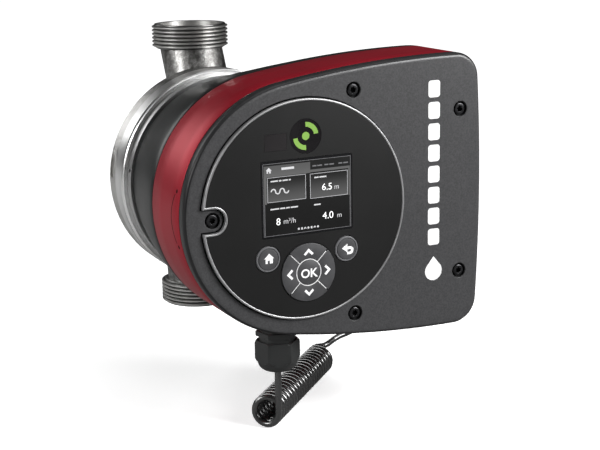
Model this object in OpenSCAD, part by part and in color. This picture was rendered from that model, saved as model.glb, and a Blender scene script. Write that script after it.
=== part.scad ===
// Canned-rotor circulator pump: threaded in-line housing, clamped motor and
// a D-shaped control box with a round operating panel and a curly sensor lead.
// +Z runs up the pipe axis from the inlet face, the control box looks along -Y.

/* [Pipework] */
// Distance between the two port faces
port_span = 180; // [172:1:200]
// Crest diameter of the port threads
thread_d = 47.8; // [46:0.1:49]
// Pitch of the thread ridges
thread_pitch = 2.309; // [2.1:0.001:2.4]
// Length of each threaded port
thread_len = 14.5; // [14:0.5:16]
// Straight bore inside each port
waterway_d = 37; // [34:0.5:38]

/* [Housing and clamp] */
// Radius of the housing's clamping rim
rim_r = 65; // [64:0.5:66]
// Radius of the volute body behind the rim
body_r = 58; // [57.5:0.5:60]
// Wall left around the volute
volute_wall = 4; // [3:0.5:4]

/* [Motor] */
// Impeller diameter
impeller_d = 84; // [70:1:96]
// Number of impeller vanes
vane_count = 6; // [5:1:8]
// Rotor diameter
rotor_d = 41; // [36:0.5:41.6]
// Shaft diameter
shaft_d = 9; // [8:0.5:9]
// Number of stator slots
slot_count = 12; // [9:1:12]

/* [Control box] */
// Radius of the round left end of the box
head_r = 71; // [70:0.5:73]
// Half the height of the box at its widest
head_half_h = 79.5; // [78:0.5:82]
// Distance from the motor axis to the right edge
head_right = 114; // [112:0.5:118]
// Radius of the two right-hand corners
corner_r = 15; // [12:0.5:16]
// Distance from the pipe axis to the front face
face_depth = 160.5; // [160.5:0.5:164]
// Wall of the box shells
shell_wall = 2.6; // [2.2:0.1:3]

/* [Operating panel] */
// Radius of the round panel with its bright rim
panel_r = 61; // [60:0.1:61.5]
// Height of the panel above the face
panel_proud = 2; // [1.6:0.1:2.2]
// Width of the screen
screen_w = 53; // [50:0.5:55]
// Height of the screen
screen_h = 40; // [38:0.5:41]
// Travel of every key
key_travel = 0.8; // [0.5:0.1:0.8]

/* [Sensor lead] */
// Diameter of the lead
cord_d = 3.9; // [3.5:0.1:4]
// Outside diameter of its curl
coil_d = 19.4; // [18:0.1:20]

/* [Hidden] */
$fn = 96;

// Shared small sizes
key_gap = 0.4;
running_gap = 0.05;
fit_gap = 0.05;
axis_z = port_span / 2;
thread_r = thread_d / 2;
thread_depth = 1.48;
waterway_r = waterway_d / 2;

// Stations along the motor axis, negative towards the front
housing_back_y = 38;
rim_back_y = -22;
rim_front_y = -33.5;
lip_front_y = -40.2;
plate_front_y = -41.7;
stator_lip_front_y = -46.3;
clamp_front_y = -47.5;
grey_band_front_y = -54;
rear_cover_y = -54.5;
rear_cover_full_y = -103;
shell_back_y = -113;
shell_front_y = -153;
post_depth = 17;
face_y = -face_depth;
panel_y = face_y - panel_proud;

// Radii around the motor axis
lip_r = 60;
volute_r = body_r - volute_wall;
shaft_r = shaft_d / 2;
bearing_r = 9;
can_r = 21.2;
can_wall = 0.5;
stator_bore_r = 22.2;
stator_r = 44;
eye_r = 16.2;

// Control box outline: a left arc, two shallow crowns, two corners and a bowed right edge
corner_x = head_right - corner_r - 2;
crown_r = (corner_x * corner_x + head_half_h * head_half_h - head_r * head_r)
    / (2 * (head_half_h - head_r));
corner_y = head_half_h - corner_r;
bow_reach = head_right - corner_x;
bow_r = (bow_reach * bow_reach + corner_y * corner_y - corner_r * corner_r)
    / (2 * (bow_reach - corner_r));
crown_turn = asin(corner_x / (crown_r - head_r));
bow_turn = asin(corner_y / (bow_r - corner_r));

// Panel places, measured from the motor axis
cover_screw_places = [[30.5, 63.4], [99.4, 47.5], [30.5, -63.4], [99.4, -47.5], [-54.8, 0]];
notch_place = [-54.8, 0];
notch_r = 6.7;
screen_place = [0.5, 8];
status_place = [0, 41];
infrared_place = [-18, 39];
home_place = [-24, -24.5];
back_place = [24, -24.5];
pad_place = [0.3, -34.8];
round_key_r = 7.2;
pad_r = 16.4;
ok_r = 7.2;

// Gland under the box
gland_x = -9;
gland_y = -140;
gland_turn = 41;
gland_face_z = 13.8;
gland_recess_top_z = 21.5;
gland_nut_z = -0.4;
gland_end_z = -6;
seal_end_z = -1.5;

// Curl of the sensor lead: level, running back and to the right
coil_mean_r = (coil_d - cord_d) / 2;
coil_length = 103.5;
coil_turn = 45;
coil_start = [gland_x - coil_mean_r * sin(coil_turn), gland_y + coil_mean_r * cos(coil_turn), -33];

// Sensor on the lower right of the volute
sensor_turn = -45;
sensor_y = -12;
sensor_end = 94;
sensor_tip = [sensor_end * cos(sensor_turn), sensor_y, axis_z + sensor_end * sin(sensor_turn)];

// Route of the lead outside the curl
drop_route = [[gland_x, gland_y, seal_end_z], [gland_x, gland_y, -12], [gland_x, gland_y, -22],
    [gland_x, gland_y, -33]];
tail_route = [[57, -63, -25.3], [64, -60.8, -24.4], [74, -58.5, -22], [87, -56, -20],
    [94, -49, -15], [96.5, -38, -8], [94, -26, -1], [85.5, -15.5, 6], [75, -12, 15], sensor_tip];

// Points along an arc about a centre
function arc(centre, radius, from, to, steps) =
    [for (i = [0 : steps]) let (a = from + (to - from) * i / steps)
        centre + radius * [cos(a), sin(a)]];

// Upper half of the control box outline, moved in by inset
function upper_outline(inset) = concat(
    arc([head_right - bow_r, 0], bow_r - inset, 0, bow_turn, 4),
    arc([corner_x, corner_y], corner_r - inset, bow_turn + 12, 90, 7),
    arc([corner_x, head_half_h - crown_r], crown_r - inset, 90 + crown_turn / 8,
        90 + crown_turn, 7),
    arc([0, 0], head_r - inset, 90 + crown_turn + 5, 180, 17));

// Whole outline, the lower half being the mirror of the upper one
function outline(inset) = let (upper = upper_outline(inset), count = len(upper))
    concat(upper, [for (i = [count - 2 : -1 : 1]) [upper[i][0], -upper[i][1]]]);

module box_outline(inset = 0) {
    polygon(outline(inset));
}

// Children drawn along local Z are laid along +Y on the motor axis, starting at y
module on_axis(y = 0) {
    translate([0, y, axis_z])
        rotate([-90, 0, 0])
            children();
}

// Children drawn in the XY plane face the front, local X and Y being X and Z
module facing(y) {
    translate([0, y, axis_z])
        rotate([90, 0, 0])
            children();
}

// A plate parallel to the face between two stations
module plate(back, front) {
    facing(back)
        linear_extrude(back - front)
            children();
}

module ring_on_axis(outer, inner, back, front) {
    on_axis(front)
        difference() {
            cylinder(r = outer, h = back - front);
            translate([0, 0, -1])
                cylinder(r = inner, h = back - front + 2);
        }
}

module bar(from, to, r) {
    reach = to - from;
    length = norm(reach);
    translate(from)
        rotate([0, acos(reach[2] / length), atan2(reach[1], reach[0])])
            cylinder(r = r, h = length);
}

// Half-section of one threaded port, from its end face inwards
function thread_section() = concat(
    [[0, 0], [thread_r - 1.6, 0], [thread_r - thread_depth, 0.4]],
    [for (i = [0 : 5]) let (z = 0.5 + i * thread_pitch)
        each [[thread_r - thread_depth, z], [thread_r, z + 0.75], [thread_r, z + 1.35],
            [thread_r - thread_depth, z + 2.1]]],
    [[thread_r - 3, thread_len + 0.6], [0, thread_len + 0.6]]);

module threaded_port() {
    rotate_extrude()
        polygon(thread_section());
}

// Half-section of the housing about the motor axis
function housing_section() = concat(
    [[0, lip_front_y], [lip_r, lip_front_y], [lip_r, rim_front_y], [rim_r, rim_front_y],
        [rim_r, rim_back_y - 1.5], [rim_r - 1.5, rim_back_y]],
    arc([body_r + 3, rim_back_y + 3], 3, 270, 180, 4),
    arc([body_r - 14, -8], 14, 0, 75, 6),
    arc([body_r - 6, 12], 6, 255, 190, 3),
    arc([24, housing_back_y - 16], 16, 10, 90, 7),
    [[0, housing_back_y]]);

module housing_cavities() {
    on_axis()
        rotate_extrude()
            polygon([[0, lip_front_y - 1], [volute_r, lip_front_y - 1], [volute_r, -14],
                [volute_r - 4, -10], [0, -10]]);
    on_axis(-11)
        cylinder(r = eye_r + 3.3, h = 8);
    on_axis()
        rotate_extrude()
            polygon([[0, -4], [27, -4], [27, 16], [19, 24], [0, 24]]);
    translate([0, 0, -1])
        cylinder(r = waterway_r, h = 15);
    translate([0, 0, port_span - 14])
        cylinder(r = waterway_r, h = 15);
    bar([0, 0, 12], [0, 13, axis_z - 24], 13);
    bar([0, -22, axis_z + 40], [0, 0, port_span - 12], 12);
}

module pump_housing() {
    color([0.78, 0.78, 0.77])
    difference() {
        union() {
            threaded_port();
            translate([0, 0, port_span])
                mirror([0, 0, 1])
                    threaded_port();
            bar([0, 0, thread_len - 2], [0, 9, 54], 19.3);
            bar([0, 0, port_span - thread_len + 2], [0, -17, axis_z + 42], 19.3);
            on_axis()
                rotate_extrude()
                    polygon(housing_section());
            sensor_place(48)
                cylinder(r = 11, h = 16);
        }
        housing_cavities();
        sensor_place(44)
            cylinder(r = 6.2, h = 22);
        translate([-rim_r - 1, -29, axis_z + 2])
            cube([4, 5, 14]);
    }
}

module wear_ring() {
    color([0.7, 0.7, 0.72])
        ring_on_axis(eye_r + 3.2, eye_r + 0.4, -4.2, -10.6);
}

module housing_oring() {
    color([0.08, 0.08, 0.08])
        on_axis(-37.5)
            rotate_extrude()
                translate([volute_r - 1.35, 0])
                    circle(r = 1.2, $fn = 32);
}

// Dished plate that closes the volute and holds the front bearing
module bearing_plate() {
    seat_r = volute_r - 0.4;
    color([0.72, 0.73, 0.74])
    on_axis()
        rotate_extrude()
            polygon([[bearing_r + 0.1, -44], [13, -44], [13, -35], [seat_r - 6, -35],
                [seat_r - 6, plate_front_y], [lip_r - 0.2, plate_front_y], [lip_r - 0.2, lip_front_y],
                [seat_r, lip_front_y], [seat_r, -38.8], [seat_r - 2.3, -38.8],
                [seat_r - 2.3, -36.2], [seat_r, -36.2], [seat_r, -32.2],
                [bearing_r + 0.1, -32.2]]);
}

module front_bearing() {
    color([0.2, 0.2, 0.22])
        ring_on_axis(bearing_r, shaft_r + running_gap, -33, -44);
}

module thrust_plate() {
    color([0.25, 0.25, 0.27])
        ring_on_axis(bearing_r + 3, shaft_r + 0.7, -44, -46.3);
}

module shaft() {
    color([0.85, 0.84, 0.8])
        ring_on_axis(shaft_r, 1.2, -13, -104);
}

module thrust_collar() {
    color([0.5, 0.5, 0.52])
        ring_on_axis(bearing_r + 1, shaft_r + fit_gap, -46.7, -49.8);
}

module rotor_core() {
    color([0.68, 0.69, 0.7])
        ring_on_axis(rotor_d / 2, shaft_r + fit_gap, -50, -96);
}

// One backward-curved vane: half of a thin arc between the hub and the tip
module vane() {
    intersection() {
        translate([20, 20])
            difference() {
                circle(r = 23);
                circle(r = 21);
            }
        difference() {
            circle(r = impeller_d / 2 - 0.5);
            circle(r = 13.6);
        }
        rotate(45)
            translate([-60, -60])
                square([120, 60]);
    }
}

module impeller() {
    tip_r = impeller_d / 2;
    color([0.74, 0.75, 0.76])
    union() {
        ring_on_axis(tip_r, shaft_r + fit_gap, -28.5, -31);
        ring_on_axis(bearing_r, shaft_r + fit_gap, -14, -31);
        ring_on_axis(tip_r, eye_r - 2, -15.5, -18);
        ring_on_axis(eye_r, eye_r - 2, -7, -18);
        plate(-17.5, -29)
            for (i = [0 : vane_count - 1])
                rotate(360 / vane_count * i)
                    vane();
    }
}

module rear_bearing() {
    color([0.2, 0.2, 0.22])
        ring_on_axis(bearing_r, shaft_r + running_gap, -98.6, -105.6);
}

// Thin cup that keeps the water away from the stator
module rotor_can() {
    can_end = -106.6;
    color([0.8, 0.8, 0.8])
    on_axis()
        rotate_extrude()
            polygon([[0, can_end], [can_r + can_wall, can_end], [can_r + can_wall, -42.9],
                [volute_r - 1, -42.9], [volute_r - 1, -42], [can_r, -42], [can_r, can_end + 0.8],
                [bearing_r + 1.2, can_end + 0.8], [bearing_r + 1.2, -98.6],
                [bearing_r + 0.1, -98.6], [bearing_r + 0.1, can_end + 0.8], [0, can_end + 0.8]]);
}

module slot_bars(width, inner, outer) {
    for (i = [0 : slot_count - 1])
        rotate(360 / slot_count * i)
            translate([inner, -width / 2])
                square([outer - inner, width]);
}

module stator_core() {
    color([0.45, 0.45, 0.47])
    plate(-56, -92)
        difference() {
            circle(r = stator_r);
            circle(r = stator_bore_r);
            slot_bars(5, 24, 36);
        }
}

module stator_windings() {
    color([0.72, 0.4, 0.2])
    union() {
        ring_on_axis(40, 25, -50.5, -55.8);
        ring_on_axis(40, 25, -92.2, -97.5);
        plate(-55, -93)
            slot_bars(4.6, 25.2, 35.6);
    }
}

// Motor shell: clamping lip, visible collar, ribbed body and rear wall
module stator_housing() {
    color([0.62, 0.62, 0.63])
    difference() {
        on_axis()
            rotate_extrude()
                polygon([[stator_r + 0.2, -99], [stator_bore_r, -99], [stator_bore_r, -103],
                    [50, -103], [50, -60], [57, grey_band_front_y], [62.5, grey_band_front_y],
                    [62.5, clamp_front_y - 0.3], [57, clamp_front_y - 0.3],
                    [57, stator_lip_front_y], [lip_r, stator_lip_front_y],
                    [lip_r, plate_front_y - 0.1], [volute_r + 0.2, plate_front_y - 0.1],
                    [volute_r - 2, -49], [stator_r + 0.2, -49]]);
        translate([0, -51.2, axis_z])
            rotate([0, -90 + 9, 0])
                translate([0, 0, 58])
                    cylinder(r = 1.3, h = 6);
    }
}

// Split band: the split and its two ears sit at the lower right
module clamp_ring() {
    color([0.82, 0.82, 0.83])
    difference() {
        union() {
            on_axis()
                rotate_extrude()
                    polygon([[lip_r + 0.3, rim_front_y - 0.3], [rim_r + 0.2, rim_front_y - 0.3],
                        [rim_r + 0.2, -44.5], [rim_r - 0.6, -45], [rim_r - 0.6, clamp_front_y],
                        [57.4, clamp_front_y], [57.4, -46.5], [lip_r + 0.3, -46.5]]);
            clamp_place()
                difference() {
                    translate([62, -9, -6])
                        cube([16, 18, 12]);
                    translate([60, -5, -7])
                        cube([20, 10, 14]);
                }
        }
        clamp_place() {
            translate([50, -3, -8])
                cube([16, 6, 16]);
            translate([71, 0, 0])
                rotate([90, 0, 0])
                    cylinder(r = 2.7, h = 30, center = true);
        }
    }
}

// Local frame of the clamp's closure: local X points out from the motor axis
module clamp_place() {
    translate([0, -40.6, axis_z])
        rotate([0, 50, 0])
            rotate([90, 0, 0])
                mirror([0, 1, 0])
                    children();
}

module clamp_screw() {
    color([0.55, 0.55, 0.57])
    clamp_place()
        translate([71, 0, 0])
            rotate([90, 0, 0])
                union() {
                    cylinder(r = 2.5, h = 30, center = true);
                    translate([0, 0, 9.2])
                        cylinder(r = 4.6, h = 4);
                    translate([0, 0, -13.2])
                        cylinder(r = 4.6, h = 4, $fn = 6);
                }
}

module thin_outline(y, inset) {
    facing(y)
        linear_extrude(0.1)
            box_outline(inset);
}

module rear_cover() {
    color([0.07, 0.07, 0.075])
    difference() {
        hull() {
            on_axis(rear_cover_y - 0.1)
                cylinder(r = 61, h = 0.1);
            thin_outline(rear_cover_full_y, 0.6);
            thin_outline(shell_back_y + 0.1, 0);
        }
        hull() {
            on_axis(rear_cover_y - 2.6)
                cylinder(r = 58.4, h = 0.1);
            thin_outline(rear_cover_full_y, 0.6 + shell_wall);
            thin_outline(shell_back_y, shell_wall);
        }
        on_axis(rear_cover_y - 4)
            cylinder(r = 57.6, h = 6);
    }
}

// Plate with fins that carries the motor's heat away from the power board
module heat_sink() {
    fin_xs = [for (i = [0 : 5]) 62 + i * 6.5];
    color([0.7, 0.7, 0.72])
    union() {
        plate(-109, -113)
            difference() {
                box_outline(shell_wall + 1.2);
                circle(r = 30);
            }
        for (x = fin_xs)
            translate([x, -109.2, axis_z - 38])
                cube([2, 6, 76]);
    }
}

module power_board() {
    color([0.05, 0.3, 0.15])
    plate(-117, -118.6)
        difference() {
            box_outline(shell_wall + 3);
            for (place = cover_screw_places)
                translate(place)
                    circle(r = 5.5);
        }
}

module power_capacitors() {
    color([0.12, 0.14, 0.25])
    for (place = [[62, 24], [84, 24], [73, 4]])
        facing(-118.8)
            translate(place)
                cylinder(r = 9.5, h = 26);
}

module line_choke() {
    color([0.7, 0.42, 0.2])
    facing(-129)
        translate([84, -32])
            rotate_extrude()
                translate([11, 0])
                    circle(r = 4.5, $fn = 32);
}

module terminal_block() {
    color([0.1, 0.35, 0.2])
    difference() {
        translate([22, -134, axis_z - 68])
            cube([44, 15, 15]);
        for (i = [0 : 4])
            translate([26.4 + i * 8.8, -130, axis_z - 69])
                cylinder(r = 2.4, h = 9);
    }
}

module gland_boss() {
    translate([gland_x, gland_y, gland_face_z + 2.5])
        cylinder(r = 11.9, h = 10);
}

// Front view of the posts that take the cover screws, each tied to the nearest wall
module screw_posts() {
    intersection() {
        box_outline(1);
        for (place = cover_screw_places)
            translate(place) {
                circle(r = 5);
                rotate(place[0] < 0 ? 180 : place[0] > 60 ? 0 : place[1] > 0 ? 90 : -90)
                    translate([0, -2])
                        square([16, 4]);
            }
    }
}

module middle_shell() {
    color([0.5, 0.07, 0.1])
    difference() {
        union() {
            plate(shell_back_y, shell_front_y)
                difference() {
                    box_outline();
                    box_outline(shell_wall);
                }
            plate(shell_front_y + 3, shell_front_y)
                difference() {
                    box_outline();
                    box_outline(5.4);
                }
            plate(shell_front_y + post_depth, shell_front_y)
                screw_posts();
            intersection() {
                gland_boss();
                plate(shell_back_y, shell_front_y)
                    box_outline(1);
            }
        }
        translate([gland_x, gland_y, gland_face_z])
            cylinder(r = 9.9, h = gland_recess_top_z - gland_face_z);
        translate([gland_x, gland_y, gland_face_z])
            cylinder(r = 8.2, h = 24);
        for (place = cover_screw_places)
            facing(shell_front_y + post_depth - 1)
                translate(place)
                    cylinder(r = 2.3, h = post_depth);
        for (side = [-1, 1])
            translate([-head_r + 1, -147.5, axis_z + side * 15.3])
                rotate([0, -90, 0])
                    cylinder(r = 0.9, h = 4);
    }
}

module cover_gasket() {
    color([0.1, 0.1, 0.1])
    plate(shell_front_y - 0.2, shell_front_y - 1.8)
        difference() {
            box_outline(3);
            box_outline(5);
        }
}

module panel_opening(r) {
    difference() {
        circle(r = r);
        translate(notch_place)
            circle(r = notch_r - 0.6);
        translate([notch_place[0] - 20, -notch_r + 0.6])
            square([20, 2 * notch_r - 1.2]);
    }
}

module front_cover() {
    round_steps = [[0, 0], [4.7, 0], [5.9, 0.4], [6.8, 1.2], [7.3, 2.2]];
    color([0.27, 0.27, 0.28])
    difference() {
        hull()
            for (step = round_steps)
                thin_outline(shell_front_y - step[0] * (shell_front_y - face_y) / 7.4, step[1]);
        plate(shell_front_y + 1, face_y + 2.6)
            difference() {
                box_outline(5.6);
                for (place = cover_screw_places)
                    translate(place)
                        circle(r = 5.4);
            }
        plate(shell_front_y + 1, shell_front_y - 2)
            difference() {
                box_outline(2.8);
                box_outline(5.7);
            }
        plate(shell_front_y, face_y - 1)
            panel_opening(panel_r + 0.9);
        for (place = cover_screw_places)
            facing(shell_front_y + 1)
                translate(place) {
                    cylinder(r = 2.4, h = 12);
                    translate([0, 0, face_depth + shell_front_y + 1 - 2.4])
                        cylinder(r = 4.4, h = 4);
                }
    }
}

// Six-lobed recess screws, one solid at each place
module cover_screws() {
    head_back_y = face_y + 2.4;
    color([0.1, 0.1, 0.11])
    for (place = cover_screw_places)
        facing(head_back_y)
            translate(place)
                difference() {
                    union() {
                        cylinder(r = 3.4, h = 1.9);
                        translate([0, 0, -16])
                            cylinder(r = 2.1, h = 16);
                    }
                    translate([0, 0, 0.8])
                        for (i = [0 : 2])
                            rotate(60 * i)
                                translate([-1.7, -0.5, 0])
                                    cube([3.4, 1, 2]);
                }
}

module clear_of_notch_screw() {
    difference() {
        children();
        translate(notch_place)
            circle(r = 7.6);
        translate([notch_place[0] - 20, -7.6])
            square([20, 15.2]);
    }
}

module panel_frame() {
    color([0.06, 0.06, 0.065])
    plate(-151.5, face_y + 0.1)
        clear_of_notch_screw()
            difference() {
                circle(r = panel_r - 2);
                circle(r = panel_r - 5);
            }
}

module panel_board() {
    color([0.05, 0.3, 0.15])
    plate(-152.4, -154)
        clear_of_notch_screw()
            circle(r = panel_r - 5.3);
}

module key_mat() {
    color([0.2, 0.2, 0.2])
    plate(-155.2, -157.2) {
        translate(home_place)
            circle(r = round_key_r + 1.5);
        translate(back_place)
            circle(r = round_key_r + 1.5);
        translate(pad_place)
            circle(r = pad_r + 1);
        translate([home_place[0], home_place[1] - 3])
            square([back_place[0] - home_place[0], 6]);
    }
}

module display_module() {
    color([0.15, 0.16, 0.17])
    plate(-157.6, face_y + 0.1)
        translate(screen_place)
            square([screen_w + 3, screen_h + 2], center = true);
}

// Front view of the panel with its notch, moved in by inset
module panel_shape(inset) {
    difference() {
        circle(r = panel_r + 0.3 - inset);
        translate(notch_place)
            circle(r = notch_r + inset);
        translate([notch_place[0] - 20, -notch_r - inset])
            square([20, 2 * (notch_r + inset)]);
    }
}

module rounded_rect(size, r) {
    for (dx = [-1, 1], dy = [-1, 1])
        translate([dx * (size[0] / 2 - r), dy * (size[1] / 2 - r)])
            circle(r = r, $fn = 32);
    square([size[0] - 2 * r, size[1]], center = true);
    square([size[0], size[1] - 2 * r], center = true);
}

module panel_disc() {
    color([0.05, 0.05, 0.055])
    plate(face_y, panel_y)
        difference() {
            panel_shape(1.4);
            translate(screen_place)
                rounded_rect([screen_w + 2.4, screen_h + 2.4], 1.2);
            translate(status_place)
                circle(r = 9.6);
            translate(infrared_place)
                square([13.2, 9.2], center = true);
            for (place = [home_place, back_place])
                translate(place)
                    circle(r = round_key_r + key_gap);
            translate(pad_place)
                circle(r = pad_r + key_gap);
        }
}

module panel_rim() {
    color([0.6, 0.6, 0.61])
    plate(face_y + 0.1, panel_y - 0.2)
        difference() {
            panel_shape(0);
            panel_shape(1.3);
        }
}

module screen_lens() {
    color([0.1, 0.11, 0.12])
    plate(panel_y + 1.2, panel_y)
        translate(screen_place)
            rounded_rect([screen_w + 2, screen_h + 2], 1);
}

module status_marks(spread) {
    circle(r = 2.2 + spread);
    for (turn = [8, 188])
        rotate(turn)
            intersection() {
                difference() {
                    circle(r = 7.6 + spread);
                    circle(r = 5 - spread);
                }
                polygon([[0, 0], [12, -spread], [12, 12], [1.5 - spread, 12]]);
            }
}

module status_lens() {
    color([0.03, 0.03, 0.035])
    plate(panel_y + 1.5, panel_y)
        translate(status_place)
            difference() {
                circle(r = 9.5);
                status_marks(0.1);
            }
}

module status_lights() {
    color([0.45, 0.8, 0.2])
    plate(panel_y + 1.5, panel_y - 0.1)
        translate(status_place)
            status_marks(0);
}

module infrared_window() {
    color([0.08, 0.04, 0.05])
    plate(panel_y + 1.2, panel_y)
        translate(infrared_place)
            square([13, 9], center = true);
}

// Key cap with its retaining shoulder behind the panel
module round_key(place, r) {
    color([0.2, 0.2, 0.21])
    facing(face_y + key_travel + 0.4)
        translate(place)
            union() {
                cylinder(r = r, h = panel_proud + 2 * key_travel + 0.4);
                cylinder(r = r + 1.2, h = key_travel + 0.2);
            }
}

module key_home() {
    round_key(home_place, round_key_r);
}

module key_back() {
    round_key(back_place, round_key_r);
}

module key_ok() {
    color([0.2, 0.2, 0.21])
    plate(face_y + key_travel + 0.4, panel_y - key_travel)
        translate(pad_place)
            circle(r = ok_r);
}

module arrow_key(turn) {
    color([0.2, 0.2, 0.21])
    plate(face_y + key_travel + 0.4, panel_y - key_travel)
        translate(pad_place)
            rotate(turn)
                intersection() {
                    difference() {
                        circle(r = pad_r);
                        circle(r = ok_r + 0.5);
                    }
                    translate([0.4, 0])
                        rotate(-45)
                            square([30, 30]);
                }
}

module key_up() {
    arrow_key(90);
}

module key_right() {
    arrow_key(0);
}

module key_down() {
    arrow_key(270);
}

module key_left() {
    arrow_key(180);
}

module gland_locknut() {
    color([0.12, 0.12, 0.12])
    translate([gland_x, gland_y, gland_face_z + 12.7])
        difference() {
            cylinder(r = 11, h = 4, $fn = 6);
            translate([0, 0, -1])
                cylinder(r = 8.1, h = 6);
        }
}

module gland_body() {
    stem_r = 8;
    color([0.12, 0.12, 0.12])
    difference() {
        union() {
            translate([gland_x, gland_y, gland_face_z + 0.8])
                rotate(gland_turn)
                    cylinder(r = 12.4, h = 2.8, $fn = 6);
            translate([gland_x, gland_y, gland_face_z - 2.6])
                cylinder(r = 10.2, h = 4);
            translate([gland_x, gland_y, gland_face_z + 3])
                cylinder(r = 9.7, h = gland_recess_top_z - gland_face_z - 3.1);
            translate([gland_x, gland_y, gland_face_z + 2])
                cylinder(r = stem_r, h = 15.7);
            translate([gland_x, gland_y, 1])
                cylinder(r = 9, h = gland_face_z - 1);
        }
        translate([gland_x, gland_y, 0])
            cylinder(r = 6.5, h = 40);
    }
}

module gland_seal() {
    color([0.05, 0.05, 0.05])
    translate([gland_x, gland_y, seal_end_z])
        difference() {
            cylinder(r = 6, h = 6.5);
            translate([0, 0, -1])
                cylinder(r = 1.4, h = 9);
        }
}

module gland_nut() {
    nut_top_z = gland_face_z - 1.9;
    color([0.12, 0.12, 0.12])
    translate([gland_x, gland_y, 0])
        difference() {
            union() {
                translate([0, 0, gland_nut_z])
                    rotate(gland_turn)
                        cylinder(r = 13, h = nut_top_z - gland_nut_z, $fn = 6);
                rotate_extrude()
                    polygon(concat([[0, gland_end_z]], arc([5.5, gland_end_z + 6], 6, 270, 360, 6),
                        [[11.5, gland_nut_z + 1], [0, gland_nut_z + 1]]));
            }
            translate([0, 0, 0.8])
                cylinder(r = 9.2, h = 20);
            translate([0, 0, nut_top_z - 1.1])
                cylinder(r = 10.7, h = 2);
            translate([0, 0, seal_end_z - 0.1])
                cylinder(r = 6.1, h = 6);
            translate([0, 0, gland_end_z - 1])
                cylinder(r = 2.4, h = 12);
        }
}

// Local frame of the sensor: local Z points out of the volute, starting at a radius
module sensor_place(reach) {
    translate([0, sensor_y, axis_z])
        rotate([0, 90 - sensor_turn, 0])
            translate([0, 0, reach])
                children();
}

module sensor_body() {
    color([0.75, 0.75, 0.74])
    union() {
        sensor_place(46)
            cylinder(r = 6.1, h = 20);
        sensor_place(64.2)
            cylinder(r = 12, h = 8, $fn = 6);
    }
}

module sensor_cap() {
    color([0.1, 0.1, 0.1])
    union() {
        sensor_place(72.2)
            cylinder(r = 9.5, h = 14);
        sensor_place(86)
            cylinder(r = 4, h = sensor_end - 86);
    }
}

// Ring of points about a place on a route, square to the route there
function ring_points(centre, ahead, r, sides) =
    let (side = abs(ahead[2]) > 0.9 ? [1, 0, 0] : [0, 0, 1],
        u = cross(ahead, side) / norm(cross(ahead, side)),
        v = cross(u, ahead))
    [for (i = [0 : sides - 1]) let (a = 360 * i / sides) centre + r * (cos(a) * u + sin(a) * v)];

function heading(route, i) =
    let (a = route[max(i - 1, 0)], b = route[min(i + 1, len(route) - 1)]) (b - a) / norm(b - a);

module swept_tube(route, r, sides = 8) {
    count = len(route);
    points = [for (i = [0 : count - 1]) each ring_points(route[i], heading(route, i), r, sides)];
    walls = [for (i = [0 : count - 2], j = [0 : sides - 1])
        let (k = (j + 1) % sides)
            each [[i * sides + j, i * sides + k, (i + 1) * sides + k],
                [i * sides + j, (i + 1) * sides + k, (i + 1) * sides + j]]];
    caps = [[for (j = [sides - 1 : -1 : 0]) j], [for (j = [0 : sides - 1]) (count - 1) * sides + j]];
    polyhedron(points, concat(walls, caps));
}

module lead_drop() {
    color([0.04, 0.04, 0.04])
        swept_tube(drop_route, cord_d / 2);
}

module lead_coil() {
    color([0.04, 0.04, 0.04])
    translate(coil_start)
        rotate([0, 90, coil_turn])
            cylinder(r = coil_d / 2, h = coil_length);
}

module lead_tail() {
    color([0.04, 0.04, 0.04])
        swept_tube(tail_route, cord_d / 2);
}

pump_housing();
wear_ring();
housing_oring();
bearing_plate();
front_bearing();
thrust_plate();
shaft();
thrust_collar();
rotor_core();
impeller();
rear_bearing();
rotor_can();
stator_core();
stator_windings();
stator_housing();
clamp_ring();
clamp_screw();
rear_cover();
heat_sink();
power_board();
power_capacitors();
line_choke();
terminal_block();
middle_shell();
cover_gasket();
front_cover();
cover_screws();
panel_frame();
panel_board();
key_mat();
display_module();
panel_disc();
panel_rim();
screen_lens();
status_lens();
status_lights();
infrared_window();
key_home();
key_back();
key_ok();
key_up();
key_right();
key_down();
key_left();
gland_locknut();
gland_body();
gland_seal();
gland_nut();
sensor_body();
sensor_cap();
lead_drop();
lead_coil();
lead_tail();
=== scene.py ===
"""Looks of a canned-rotor circulator pump: cast housing, D-shaped control box, round panel and curly lead."""

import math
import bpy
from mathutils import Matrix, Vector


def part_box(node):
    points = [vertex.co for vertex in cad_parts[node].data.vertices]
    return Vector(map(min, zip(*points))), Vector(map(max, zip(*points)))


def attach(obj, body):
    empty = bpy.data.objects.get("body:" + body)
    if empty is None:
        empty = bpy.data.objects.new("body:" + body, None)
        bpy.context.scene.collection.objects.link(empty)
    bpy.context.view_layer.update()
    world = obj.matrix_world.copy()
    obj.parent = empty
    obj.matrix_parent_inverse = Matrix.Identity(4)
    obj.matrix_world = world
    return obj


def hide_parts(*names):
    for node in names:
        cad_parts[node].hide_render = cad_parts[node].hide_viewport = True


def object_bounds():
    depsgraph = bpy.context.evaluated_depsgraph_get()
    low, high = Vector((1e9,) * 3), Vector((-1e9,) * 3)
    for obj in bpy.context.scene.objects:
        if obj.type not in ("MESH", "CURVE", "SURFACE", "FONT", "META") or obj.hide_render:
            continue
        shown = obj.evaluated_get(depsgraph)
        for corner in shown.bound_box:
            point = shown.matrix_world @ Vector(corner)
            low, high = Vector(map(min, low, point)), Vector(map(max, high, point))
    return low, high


bl_info = {
    "name": "Circulator pump",
    "version": (1, 0, 0),
    "blender": (4, 5, 0),
    "location": "View3D > Sidebar > Pump",
    "description": "Builds the finish, the panel and the lead of a heating circulator on its packed frame",
    "category": "Object",
}

import bmesh
import bpy
from bpy.props import FloatProperty, FloatVectorProperty, IntProperty, PointerProperty
from mathutils import Matrix, Vector

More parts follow.
